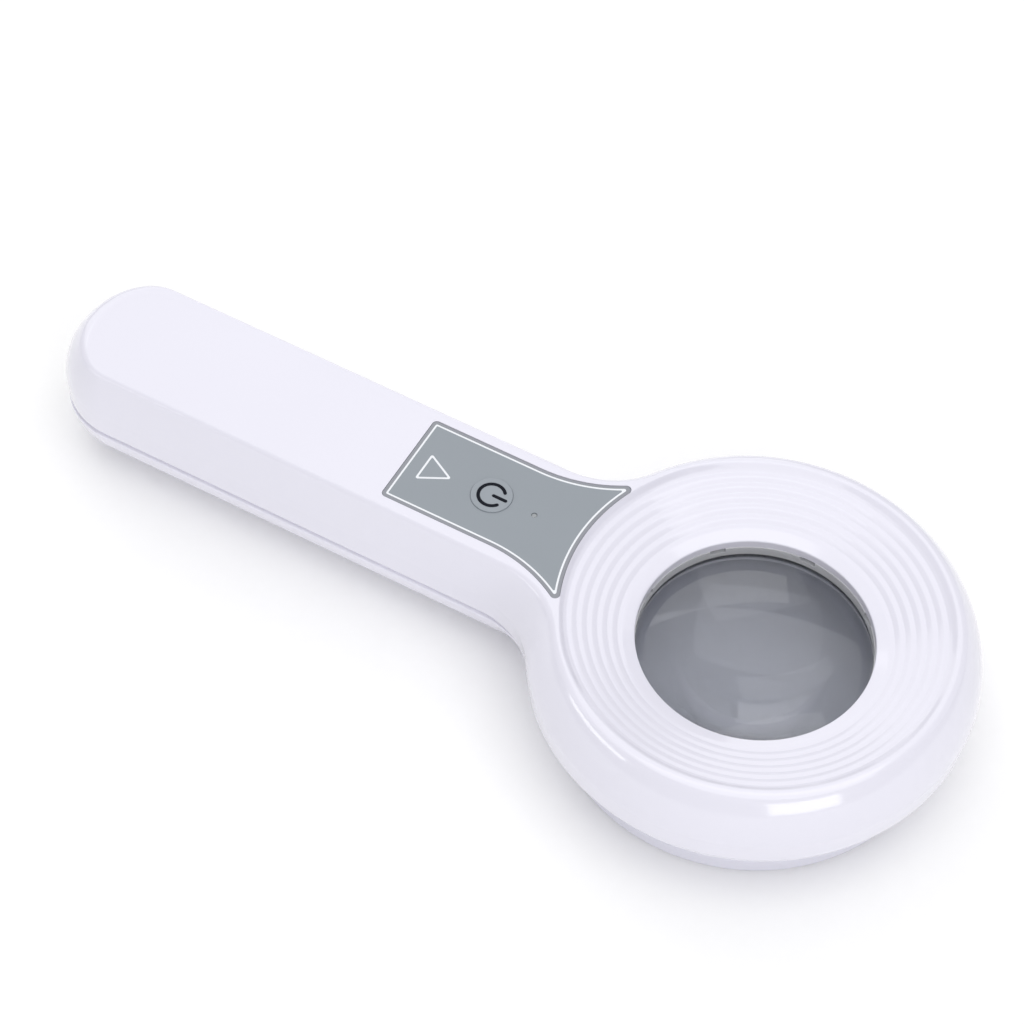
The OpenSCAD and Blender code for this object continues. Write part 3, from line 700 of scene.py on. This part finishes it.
class MAGNIFIER_OT_upper_housing(PieceOperator):
    """Builds the upper housing with its dished, grooved rim and the panel's recess"""

    bl_idname = "magnifier.upper_housing"
    bl_label = "Upper housing"

    def execute(self, context):
        s, d = sizes("shell_sizes"), sizes("dish_sizes")
        levels = [SEAM_Z + step * MM for step in ABOVE_SEAM]
        levels += [s.widest_z + s.shoulder_r * math.sin(math.radians(a))
                   for a in SHOULDER_ANGLES]
        levels += [TOP_Z - step * MM for step in BELOW_TOP]
        rings = [shell_ring(z) for z in levels]
        guard = 0.12 * MM
        rings.append(drawn_in(rings[-1], guard))
        corner = rings[-1][HEAD_STEPS]
        angles = station_angles(math.atan2(corner.y, corner.x),
                                rings[-1][HEAD_STEPS + NECK_STEPS].y)
        crest, foot = crest_rings(angles)
        rings += crest
        start = d.groove_r - d.groove_pitch / 2
        count = round((foot - start) / (d.groove_pitch / BAND_STEPS))
        radii = [foot + (start - foot) * k / count for k in range(1, count + 1)]
        lip, lip_drop = 0.5 * MM, 0.535 * MM
        lip_r = d.opening_r + lip
        radii += [start + (lip_r - start) * k / 5 for k in range(1, 5)]
        profile = [(r, dish_surface(r)) for r in radii]
        profile += arc(lip_r, dish_z(lip_r) - lip_drop, lip, 111, 180, 6)
        collar_r = LENS_HI.x + 0.1 * MM
        collar_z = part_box("lens_retainer")[0].z - 0.4 * MM
        outside = collar_r + 2 * MM
        under = 2.4 * MM
        bend_r, inner_r = 44 * MM, 52.6 * MM
        ceiling = TOP_Z - under
        profile += [(d.opening_r, CLEAR_HI.z), (collar_r, CLEAR_HI.z), (collar_r, collar_z),
                    (outside, collar_z), (outside, dish_z(outside) - under),
                    (bend_r, dish_z(bend_r) - under), (inner_r, dish_z(inner_r) - under),
                    (inner_r, ceiling)]
        rings += [circle(r, z, angles) for r, z in profile]
        rings += [shell_ring(z, s.wall) for z in (ceiling, *INNER_LEVELS, SEAM_Z)]
        rings.append(rings[0])
        piece = draw_rings("upper_shell", [settled(ring) for ring in rings])
        pipe_hole_r = 0.9 * MM
        pipe = rod(pipe_hole_r, ceiling - MM, TOP_Z + MM, pipe_centre())
        combine(piece, [self.recess(), self.well(ceiling - MM), pipe], "DIFFERENCE")
        soften(piece)
        white = gloss_plastic("white_plastic", sizes("finish_colours").shell, 0.13, 260)
        settle(piece, "housing", ["upper_housing"], [white])
        return {"FINISHED"}

    def recess(self):
        """Tool that cuts the panel's recess, a little wider than the panel."""
        corner_r, gap = sizes("panel_sizes").corner_r, 0.1 * MM
        return draw_rings("tool", [panel_outline(-gap, corner_r + gap, z)
                                   for z in (SHEET_LO.z, TOP_Z + MM)], "fill")

    def well(self, bottom):
        """Tool that cuts the button's well and the narrower hole for its stem."""
        stem_r, step_z = 2.3 * MM, CAP_LO.z + 2.8 * MM
        well_r = CAP_R + 0.7 * MM
        return plug([(stem_r, bottom), (stem_r, step_z), (well_r, step_z),
                     (well_r, TOP_Z + MM)], button_centre(), 64)


def button_centre():
    return ((CAP_LO.x + CAP_HI.x) / 2, 0.0)


def pipe_centre():
    return ((PIPE_LO.x + PIPE_HI.x) / 2, 0.0)


def keel_slice(x, top):
    """Cross-section of the handle's underside at x, inside its wall, up to the top."""
    s = sizes("shell_sizes")
    flat = HANDLE_W - LOWER_STEP - s.keel_r
    root = s.keel_r - s.wall / 2
    margin, steps = 0.4 * MM, 12
    reach = flat + root - margin
    side = []
    for k in range(steps + 1):
        y = reach * k / steps
        over = max(y - flat, 0)
        side.append((y, s.keel_r - math.sqrt(root * root - over * over) / math.sin(KEEL_END)))
    points = [(0.0, top), (reach, top)] + side[::-1]
    points += [(-y, z) for y, z in side[1:]] + [(-reach, top)]
    return [Vector((x, y, z)) for y, z in points]


class MAGNIFIER_OT_lower_housing(PieceOperator):
    """Builds the lower housing with its belly, its keel and the base ring's seat"""

    bl_idname = "magnifier.lower_housing"
    bl_label = "Lower housing"

    def execute(self, context):
        s = sizes("shell_sizes")
        first = math.asin((s.keel_r - RING_H) * math.sin(KEEL_END) / s.keel_r)
        turns = [first + (KEEL_END - first) * k / KEEL_STEPS
                 for k in range(1, KEEL_STEPS + 1)]
        rings = [keel_ring(a) for a in turns[::-1]]
        levels = [RING_H + (SEAM_Z - LOWER_LIP_H - RING_H) * k / BELLY_STEPS
                  for k in range(BELLY_STEPS + 1)]
        levels += [SEAM_Z - step * MM for step in BELOW_SEAM]
        rings += [shell_ring(z, upper=False) for z in levels]
        rings += [shell_ring(z, s.wall, False) for z in
                  (SEAM_Z, (SEAM_Z + FLOOR_TOP) / 2, FLOOR_TOP)]
        rings += [keel_ring(a, s.wall) for a in turns[1::3] + turns[-1:]]
        piece = draw_rings("lower_shell", rings, "fill")
        seat_lip, socket_drop = 0.8 * MM, 3.8 * MM
        floor = turned("tool", [(FLOOR_BORE_R - MM, RING_H), (SEAT_R + seat_lip, RING_H),
                                (SEAT_R + seat_lip, FLOOR_TOP),
                                (FLOOR_BORE_R - MM, FLOOR_TOP)])
        end_x = -SEAT_R - s.wall - seat_lip / 2
        rib = draw_rings("tool", [keel_slice(x, SOCKET_HI.z - socket_drop)
                                  for x in (end_x, end_x + s.wall)], "fill")
        screws, screw_head_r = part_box("housing_screws"), 2.1 * MM
        screw_x = (screws[0].x + screw_head_r, screws[1].x - screw_head_r)
        post_r, post_top, beyond = 4 * MM, 19 * MM, 20 * MM
        posts = [rod(post_r, MM, post_top, (x, 0)) for x in screw_x]
        combine(piece, [floor, rib, *posts], "UNION")
        seat = plug([(SEAT_R, -MM), (SEAT_R, RING_H), (FLOOR_BORE_R, RING_H),
                     (FLOOR_BORE_R, beyond)], steps=192)
        sink_r, sink_z = 2.5 * MM, 8 * MM
        holes = [plug([(2.8 * MM, -MM), (sink_r, 0.4 * MM), (sink_r, sink_z),
                       (PILOT_R, sink_z), (PILOT_R, beyond)], (x, 0)) for x in screw_x]
        mouth_r, nose_z = 4 * MM, (SOCKET_LO.z + SOCKET_HI.z) / 2
        mouth = [[Vector((x, mouth_r * math.cos(a), nose_z + mouth_r * math.sin(a)))
                  for a in even(64)] for x in (-213 * MM, -201 * MM)]
        combine(piece, [seat, *holes, draw_rings("tool", mouth, "fill")], "DIFFERENCE")
        merge_slivers(piece)
        soften(piece)
        white = gloss_plastic("white_plastic_lower", sizes("finish_colours").shell, 0.15, 240)
        settle(piece, "housing", ["lower_housing"], [white])
        return {"FINISHED"}


class MAGNIFIER_OT_base_ring(PieceOperator):
    """Builds the base ring that the head stands on, with its four screw holes"""

    bl_idname = "magnifier.base_ring"
    bl_label = "Base ring"

    def execute(self, context):
        edge = sizes("shell_sizes").ring_edge
        bore, small = 46 * MM, 0.45 * MM
        profile = arc(bore + small, small, small, 180, 270, 4)
        profile += arc(RING_HI.x - edge, edge, edge, 270, 360, 7)
        profile += arc(RING_HI.x - small, RING_H - small, small, 0, 90, 4)
        profile += arc(bore + small, RING_H - small, small, 90, 180, 4)
        piece = turned("base_hoop", profile, 192)
        holes, hole_circle = [], 49 * MM
        sink_r, sink_z = 2.4 * MM, 7.4 * MM
        for k in range(4):
            a = math.radians(45 + 90 * k)
            spot = (hole_circle * math.cos(a), hole_circle * math.sin(a))
            holes.append(plug([(sink_r, -MM), (sink_r, sink_z), (PILOT_R, sink_z),
                               (PILOT_R, RING_H + MM)], spot, 40))
        combine(piece, holes, "DIFFERENCE")
        soften(piece)
        white = gloss_plastic("ring_plastic", sizes("finish_colours").ring, 0.26, 300)
        settle(piece, "housing", ["base_ring"], [white])
        return {"FINISHED"}


class MAGNIFIER_OT_lens(PieceOperator):
    """Builds the lens and the notched clear ring over its rim"""

    bl_idname = "magnifier.lens"
    bl_label = "Lens and clear ring"

    def execute(self, context):
        rise, optic = LENS_HI.z - CLEAR_LO.z, 31 * MM
        cap_r = (optic * optic + rise * rise) / (2 * rise)
        radii = [optic * k / 20 for k in range(21)]
        rim_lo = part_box("lens_gasket")[1].z
        profile = [(r, LENS_LO.z + sag(cap_r, r)) for r in radii]
        profile += [(LENS_HI.x, rim_lo), (LENS_HI.x, CLEAR_LO.z)]
        profile += [(r, LENS_HI.z - sag(cap_r, r)) for r in radii[::-1]]
        piece = turned("lens_optic", profile, 128, ends="poles")
        soften(piece, 20)
        glass = clear_plastic("lens_glass", sizes("finish_colours").glass, 0.004, 1.5)
        settle(piece, "housing", ["lens"], [glass])

        inside, edge = 31.3 * MM, 0.2 * MM
        profile = arc(CLEAR_HI.x - edge, CLEAR_HI.z - edge, edge, 0, 90, 3)
        profile += arc(inside + edge, CLEAR_HI.z - edge, edge, 90, 180, 3)
        profile += [(inside, CLEAR_LO.z), (CLEAR_HI.x, CLEAR_LO.z)]
        hoop = turned("clear_hoop", profile, 128)
        combine(hoop, [self.notch(math.radians(45 * k)) for k in range(8)], "DIFFERENCE")
        soften(hoop)
        clear = clear_plastic("clear_plastic", (0.88, 0.89, 0.93), 0.16, 1.46, 0.6)
        settle(hoop, "housing", ["lens_ring"], [clear])
        return {"FINISHED"}

    def notch(self, turn):
        """Tool that cuts one notch into the clear ring's inner edge."""
        place, extent = (31.1 * MM, 0, 28 * MM), (3.2 * MM, 4.4 * MM, 2 * MM)
        select_none()
        bpy.ops.mesh.primitive_cube_add(size=1, location=place)
        block = bpy.context.object
        block.scale = extent
        bpy.ops.object.transform_apply(location=True, rotation=False, scale=True)
        bpy.ops.object.mode_set(mode="EDIT")
        bpy.ops.mesh.bevel(offset=0.25 * MM, segments=2, affect="EDGES")
        bpy.ops.object.mode_set(mode="OBJECT")
        block.data.transform(Matrix.Rotation(turn, 4, "Z"))
        return block


def rounded_polygon(corners, radius, inset, z, steps=6):
    """Ring of points along a convex polygon, drawn in by inset, its corners rounded."""
    ring = []
    for k, corner in enumerate(corners):
        here = Vector(corner)
        back = (Vector(corners[k - 1]) - here).normalized()
        on = (Vector(corners[(k + 1) % len(corners)]) - here).normalized()
        half = back.angle(on) / 2
        centre = here + (back + on).normalized() * (inset + radius) / math.sin(half)
        start = math.atan2(back.x, -back.y)
        for j in range(steps + 1):
            a = start + (math.pi - 2 * half) * j / steps
            ring.append(Vector((centre.x + radius * math.cos(a),
                                centre.y + radius * math.sin(a), z)))
    return ring


class MAGNIFIER_OT_control_panel(PieceOperator):
    """Builds the panel film with its border, keyline and triangle, and the indicator"""

    bl_idname = "magnifier.control_panel"
    bl_label = "Control panel"

    def execute(self, context):
        p, c = sizes("panel_sizes"), sizes("finish_colours")
        top, ink_top = SHEET_HI.z, SHEET_HI.z + 0.02 * MM
        inner, ramp = p.border + p.keyline, 0.01 * MM
        ink_r, field_r = 0.5 * MM, 0.3 * MM
        # Rows of (inset, corner radius, height), from the sheet's foot to the grey field
        shape = [(0.0, p.corner_r, SHEET_LO.z), (0.0, p.corner_r, top - 0.12 * MM),
                 (0.04 * MM, p.corner_r, top - 0.04 * MM), (0.12 * MM, p.corner_r, top),
                 (p.border, ink_r, top), (p.border + ramp, ink_r, ink_top),
                 (inner - ramp, field_r, ink_top), (inner, field_r, top)]
        film = printed_film("panel_film", c.film)
        border = printed_film("panel_border", c.border)
        ink = satin_plastic("pale_ink", c.ink, 0.45, 2200, 0.00003)
        piece = draw_rings("panel_film", [panel_outline(*row) for row in shape], "fill",
                           [1, 1, 1, 1, 2, 2, 2])
        # The two filled ends, which are the foot and the grey field, have many corners
        for face in piece.data.polygons:
            if len(face.vertices) > 12:
                face.material_index = 0
        for material in (film, border, ink):
            piece.data.materials.append(material)
        cap_gap, pipe_gap, pipe_r = 0.07 * MM, 0.03 * MM, 0.8 * MM
        holes = [rod(CAP_R + cap_gap, SHEET_LO.z - MM, top + MM, button_centre(), 96),
                 rod(pipe_r + pipe_gap, SHEET_LO.z - MM, top + MM, pipe_centre())]
        combine(piece, holes, "DIFFERENCE")
        soften(piece)
        settle(piece, "housing", ["panel_sheet"], [film, border, ink])

        middle = -0.65 * MM
        base_x, tip_x, half = -99.6 * MM, -90.9 * MM, 4.75 * MM
        triangle = [(base_x, middle - half), (tip_x, middle), (base_x, middle + half)]
        stroke, ink_foot = 0.56 * MM, top - 0.1 * MM
        outer_r, inner_r = 0.5 * MM, 0.2 * MM
        rows = [(outer_r, 0.0, ink_foot), (outer_r, 0.0, ink_top),
                (inner_r, stroke, ink_top), (inner_r, stroke, ink_foot)]
        rings = [rounded_polygon(triangle, r, inset, z) for r, inset, z in rows]
        mark = draw_rings("panel_triangle", rings + rings[:1])
        soften(mark)
        settle(mark, "housing", [], [ink])

        flange_r, flange_z = 1.5 * MM, PIPE_LO.z + 4.2 * MM
        profile = [(0.0, PIPE_LO.z), (pipe_r, PIPE_LO.z), (pipe_r, flange_z),
                   (flange_r, flange_z), (flange_r, flange_z + MM), (pipe_r, flange_z + MM),
                   (pipe_r, PIPE_HI.z - 0.3 * MM), (0.72 * MM, PIPE_HI.z - 0.12 * MM),
                   (0.5 * MM, PIPE_HI.z - 0.02 * MM), (0.2 * MM, PIPE_HI.z), (0.0, PIPE_HI.z)]
        pipe = turned("indicator_dot", profile, 48, pipe_centre(), "poles")
        soften(pipe)
        clear = clear_plastic("light_pipe", (0.72, 0.76, 0.80), 0.22, 1.49, 0.45)
        settle(pipe, "housing", ["indicator_pipe"], [clear])
        return {"FINISHED"}


def drawn_stroke(name, path, width, bottom, top):
    """Flat stroke along a path of (x, y) points, with round ends."""
    points = [Vector((x, y, 0)) for x, y in path]
    first, last = (points[1] - points[0]).normalized(), (points[-1] - points[-2]).normalized()
    end_steps, tip_share = 5, 0.08
    turns = [math.pi / 2 * (1 - k / end_steps) for k in range(end_steps)]
    marks = [(points[0] - first * math.sin(a) * width / 2, first,
              max(math.cos(a), tip_share)) for a in turns]
    for k, here in enumerate(points):
        ahead, behind = points[min(k + 1, len(points) - 1)], points[max(k - 1, 0)]
        marks.append((here, (ahead - behind).normalized(), 1.0))
    marks += [(points[-1] + last * math.sin(a) * width / 2, last,
               max(math.cos(a), tip_share)) for a in turns[::-1]]
    rings = []
    for here, along, share in marks:
        side = Vector((-along.y, along.x, 0)) * width / 2 * share
        rings.append([here - side + Vector((0, 0, bottom)), here + side + Vector((0, 0, bottom)),
                      here + side + Vector((0, 0, top)), here - side + Vector((0, 0, top))])
    return draw_rings(name, rings, "fill")


class MAGNIFIER_OT_power_button(PieceOperator):
    """Builds the power button's cap with its raised rim and its power symbol"""

    bl_idname = "magnifier.power_button"
    bl_label = "Power button"

    def execute(self, context):
        c = sizes("finish_colours")
        centre = button_centre()
        under, stem, field = CAP_HI.z - 0.8 * MM, 2 * MM, CAP_HI.z - 0.1 * MM
        edge = 0.25 * MM
        profile = [(0.0, CAP_LO.z), (stem, CAP_LO.z), (stem, under), (CAP_R, under),
                   (CAP_R, field - 0.15 * MM)]
        profile += arc(CAP_R - edge, field - 0.18 * MM, edge, 20, 80, 4)
        ridge, brow = field + 0.035 * MM, field + 0.03 * MM
        profile += [(CAP_R - 0.45 * MM, brow), (CAP_R - 0.65 * MM, ridge),
                    (CAP_R - 0.9 * MM, brow), (CAP_R - 1.3 * MM, field),
                    (3 * MM, field + 0.02 * MM), (0.0, brow)]
        piece = turned("button_cap", profile, 96, centre, "poles")
        soften(piece, 50)
        film = printed_film("button_film", scaled(c.film, 1.06), 0.00004)
        settle(piece, "power_button", ["power_button"], [film])

        ink = satin_plastic("dark_ink", c.mark, 0.5, 2400, 0.00003, 1.2)
        hoop_r, opening = 3.6 * MM, 38
        hoop = arc(*centre, hoop_r, opening, 360 - opening, 56)
        bar_start, bar_l = 0.6 * MM, 3.6 * MM
        bar = [(centre[0] + bar_start + bar_l * k / 6, 0.0) for k in range(7)]
        stroke, bottom, crown = 0.95 * MM, field - 0.1 * MM, field + 0.07 * MM
        for name, path in (("power_mark_ring", hoop), ("power_mark_bar", bar)):
            mark = drawn_stroke(name, path, stroke, bottom, crown)
            soften(mark)
            settle(mark, "power_button", [], [ink])
        return {"FINISHED"}


# Maker, material slot and the maker's own values, for each slot whose CAD nodes show
# their own shape
INNER_FINISHES = (
    (satin_plastic, "gasket_rubber", (0.32, 0.33, 0.35), 0.6, 1800),
    (satin_plastic, "retainer_plastic", (0.74, 0.74, 0.78), 0.45),
    (clear_plastic, "window_plastic", (0.90, 0.91, 0.95), 0.35, 1.49, 0.75),
    (circuit_board, "board_green", (0.02, 0.13, 0.06)),
    (phosphor, "lamp_chip", (0.88, 0.80, 0.42)),
    (satin_plastic, "resistor_black", (0.03, 0.03, 0.032), 0.55, 2600),
    (brushed_metal, "screw_steel", (0.62, 0.62, 0.63)),
    (satin_plastic, "switch_black", (0.03, 0.03, 0.034), 0.5, 1700),
    (satin_plastic, "plunger_plastic", (0.05, 0.05, 0.055), 0.42, 2000),
    (phosphor, "indicator_chip", (0.60, 0.85, 0.55)),
    (satin_plastic, "chip_black", (0.025, 0.025, 0.026), 0.62, 2400),
    (brushed_metal, "inductor_copper", (0.62, 0.30, 0.16), 0.4, (900, 900, 5200)),
    (satin_plastic, "capacitor_tan", (0.42, 0.28, 0.15), 0.5, 2600),
    (satin_plastic, "plug_white", (0.80, 0.78, 0.68), 0.45, 1500),
    (brushed_metal, "cell_steel", (0.60, 0.60, 0.62), 0.3, (2200, 60, 60)),
    (gloss_plastic, "cell_sleeve", (0.02, 0.09, 0.32), 0.3, 500),
    (brushed_metal, "nickel", (0.66, 0.63, 0.56), 0.35),
    (satin_plastic, "foam", (0.04, 0.04, 0.042), 0.85, 900, 0.0003),
    (insulation, "wire_insulation", (0.42, 0.02, 0.02)),
    (satin_plastic, "socket_black", (0.022, 0.022, 0.025), 0.42, 1500),
    (brushed_metal, "pin_brass", (0.85, 0.66, 0.30), 0.22, (60, 2600, 2600)),
)


class MAGNIFIER_OT_inner_pieces(PieceOperator):
    """Gives the pieces inside the housings, the screws and the socket their finishes"""

    bl_idname = "magnifier.inner_pieces"
    bl_label = "Inner pieces"

    def execute(self, context):
        slots = {row["node"]: row["material_slot"] for row in frame["record"]["subparts"]}
        finishes = {row[1]: row[0](*row[1:]) for row in INNER_FINISHES}
        for name, node in frame["nodes"].items():
            if node.hide_render:
                continue
            for slot in node.material_slots:
                slot.material = finishes[slots[name]]
        return {"FINISHED"}


# ---- Studio ----

FLOOR_Z = -0.3 * MM
# Height and radius of the grey disc under the lens, which is painted shade in place of the
# head's shadow
SHADE_CARD_Z = -0.2 * MM
SHADE_CARD_R = 45.5 * MM
AIR = 0.39

# Name, position, target, width and height, watts
SOFTBOXES = (
    ("overhead_box", (0.35, -0.4, 1.3), (-0.05, 0, 0), (1.6, 1.5), 8.3),
    ("top_box", (-0.2, 0.4, 1.4), (-0.05, 0, 0), (2.0, 1.6), 8.8),
    ("far_window", (-1.04, 1.08, 0.75), (0, 0, 0.03), (1.6, 1.0), 5.3),
    ("right_window", (0.93, -0.78, 0.30), (0.035, -0.04, 0.03), (0.66, 0.46), 2.9),
    ("left_window", (-0.9, -0.87, 0.38), (-0.03, -0.04, 0.04), (0.8, 0.17), 1.4),
)

# Place in metres and turn in degrees about X, Y and Z
CAMERA_PLACE = (0.17821, -0.49184, 0.77045)
CAMERA_TURN = (36.942, -1.585, 29.148)
SENSOR_MM = 36
FOCAL_MM = 121.9


def softbox(name, position, target, size, power):
    """White rectangular light at a position, aimed at a target; power is in watts."""
    light = bpy.data.lights.new(name, "AREA")
    light.shape = "RECTANGLE"
    light.size, light.size_y = size
    light.energy = power
    lamp = bpy.data.objects.new(name, light)
    bpy.context.scene.collection.objects.link(lamp)
    lamp.location = position
    aim = Vector(target) - Vector(position)
    lamp.rotation_euler = aim.to_track_quat("-Z", "Y").to_euler()


def paper(name, tone, glow):
    """Matt backing paper with soft fibres, which may glow a little."""
    made = Finish(name, Roughness=0.9, Specular_IOR_Level=0.1, Emission_Strength=glow)
    fibres = made.noise(300, 2)
    made.feed("Base Color", made.blend(fibres, scaled(tone, 0.99), scaled(tone, 1.01)))
    made.shader.inputs["Emission Color"].default_value = (1, 1, 1, 1)
    return made.material


class MAGNIFIER_OT_studio(PieceOperator):
    """Builds the pale floor, the soft lights and the camera"""

    bl_idname = "magnifier.studio"
    bl_label = "Studio"

    def execute(self, context):
        self.stage()
        world = bpy.data.worlds.new("studio_air")
        bpy.context.scene.world = world
        world.use_nodes = True
        air = world.node_tree.nodes["Background"]
        air.inputs["Color"].default_value = (1, 1, 1, 1)
        air.inputs["Strength"].default_value = AIR
        for row in SOFTBOXES:
            softbox(*row)
        self.camera()
        bpy.context.scene.view_settings.view_transform = "Standard"
        bpy.context.scene.view_settings.look = "None"
        return {"FINISHED"}

    def stage(self):
        """The floor, and a grey disc on it under the lens: painted shade that stands in for the
        head's shadow on the floor and gives the view through the lens its tone.
        """
        select_none()
        bpy.ops.mesh.primitive_plane_add(size=6, location=(0, 0, FLOOR_Z))
        floor = bpy.context.object
        floor.name = "floor"
        floor.data.materials.append(paper("floor_paper", (0.94, 0.94, 0.94), 0.05))
        # Grey disc of painted shade under the lens, where the head's shadow falls on the floor
        bpy.ops.mesh.primitive_circle_add(vertices=96, radius=SHADE_CARD_R, fill_type="NGON",
                                          location=(0, 0, SHADE_CARD_Z))
        shade_card = bpy.context.object
        shade_card.name = "painted_shade_disc"
        shade_card.data.materials.append(paper("painted_shade_grey", (0.70, 0.72, 0.77), 0))

    def camera(self):
        lens = bpy.data.cameras.new("camera")
        camera = bpy.data.objects.new("camera", lens)
        bpy.context.scene.collection.objects.link(camera)
        lens.sensor_width, lens.lens = SENSOR_MM, FOCAL_MM
        turn = Euler([math.radians(a) for a in CAMERA_TURN])
        camera.matrix_world = Matrix.LocRotScale(Vector(CAMERA_PLACE), turn, None)
        lens.clip_start, lens.clip_end = 0.01, 20
        bpy.context.scene.camera = camera


STEPS = (MAGNIFIER_OT_upper_housing, MAGNIFIER_OT_lower_housing, MAGNIFIER_OT_base_ring,
         MAGNIFIER_OT_lens, MAGNIFIER_OT_control_panel, MAGNIFIER_OT_power_button,
         MAGNIFIER_OT_inner_pieces, MAGNIFIER_OT_studio)
GROUPS = {"shell_sizes": ShellSizes, "dish_sizes": DishSizes, "panel_sizes": PanelSizes,
          "finish_colours": FinishColours}


class MAGNIFIER_PT_pieces(bpy.types.Panel):
    """Lists the magnifier's sizes and pieces in the 3D view's sidebar"""

    bl_label = "Lit hand magnifier"
    bl_idname = "MAGNIFIER_PT_pieces"
    bl_space_type = "VIEW_3D"
    bl_region_type = "UI"
    bl_category = "Magnifier"

    def draw(self, context):
        for group, kind in GROUPS.items():
            box = self.layout.box()
            for key in kind.__annotations__:
                box.prop(getattr(context.scene, group), key)
        for step in STEPS:
            self.layout.operator(step.bl_idname)


def register():
    for kind in (*GROUPS.values(), *STEPS, MAGNIFIER_PT_pieces):
        bpy.utils.register_class(kind)
    for group, kind in GROUPS.items():
        setattr(bpy.types.Scene, group, PointerProperty(type=kind))


def unregister():
    for group in GROUPS:
        delattr(bpy.types.Scene, group)
    for kind in (MAGNIFIER_PT_pieces, *STEPS[::-1], *GROUPS.values()):
        bpy.utils.unregister_class(kind)


def corners(box):
    return [[float(v) for v in corner] for corner in box]


def main():
    register()
    for step in STEPS:
        group, name = step.bl_idname.split(".")
        getattr(getattr(bpy.ops, group), name)()
    select_none()


if __name__ == "__main__":
    main()
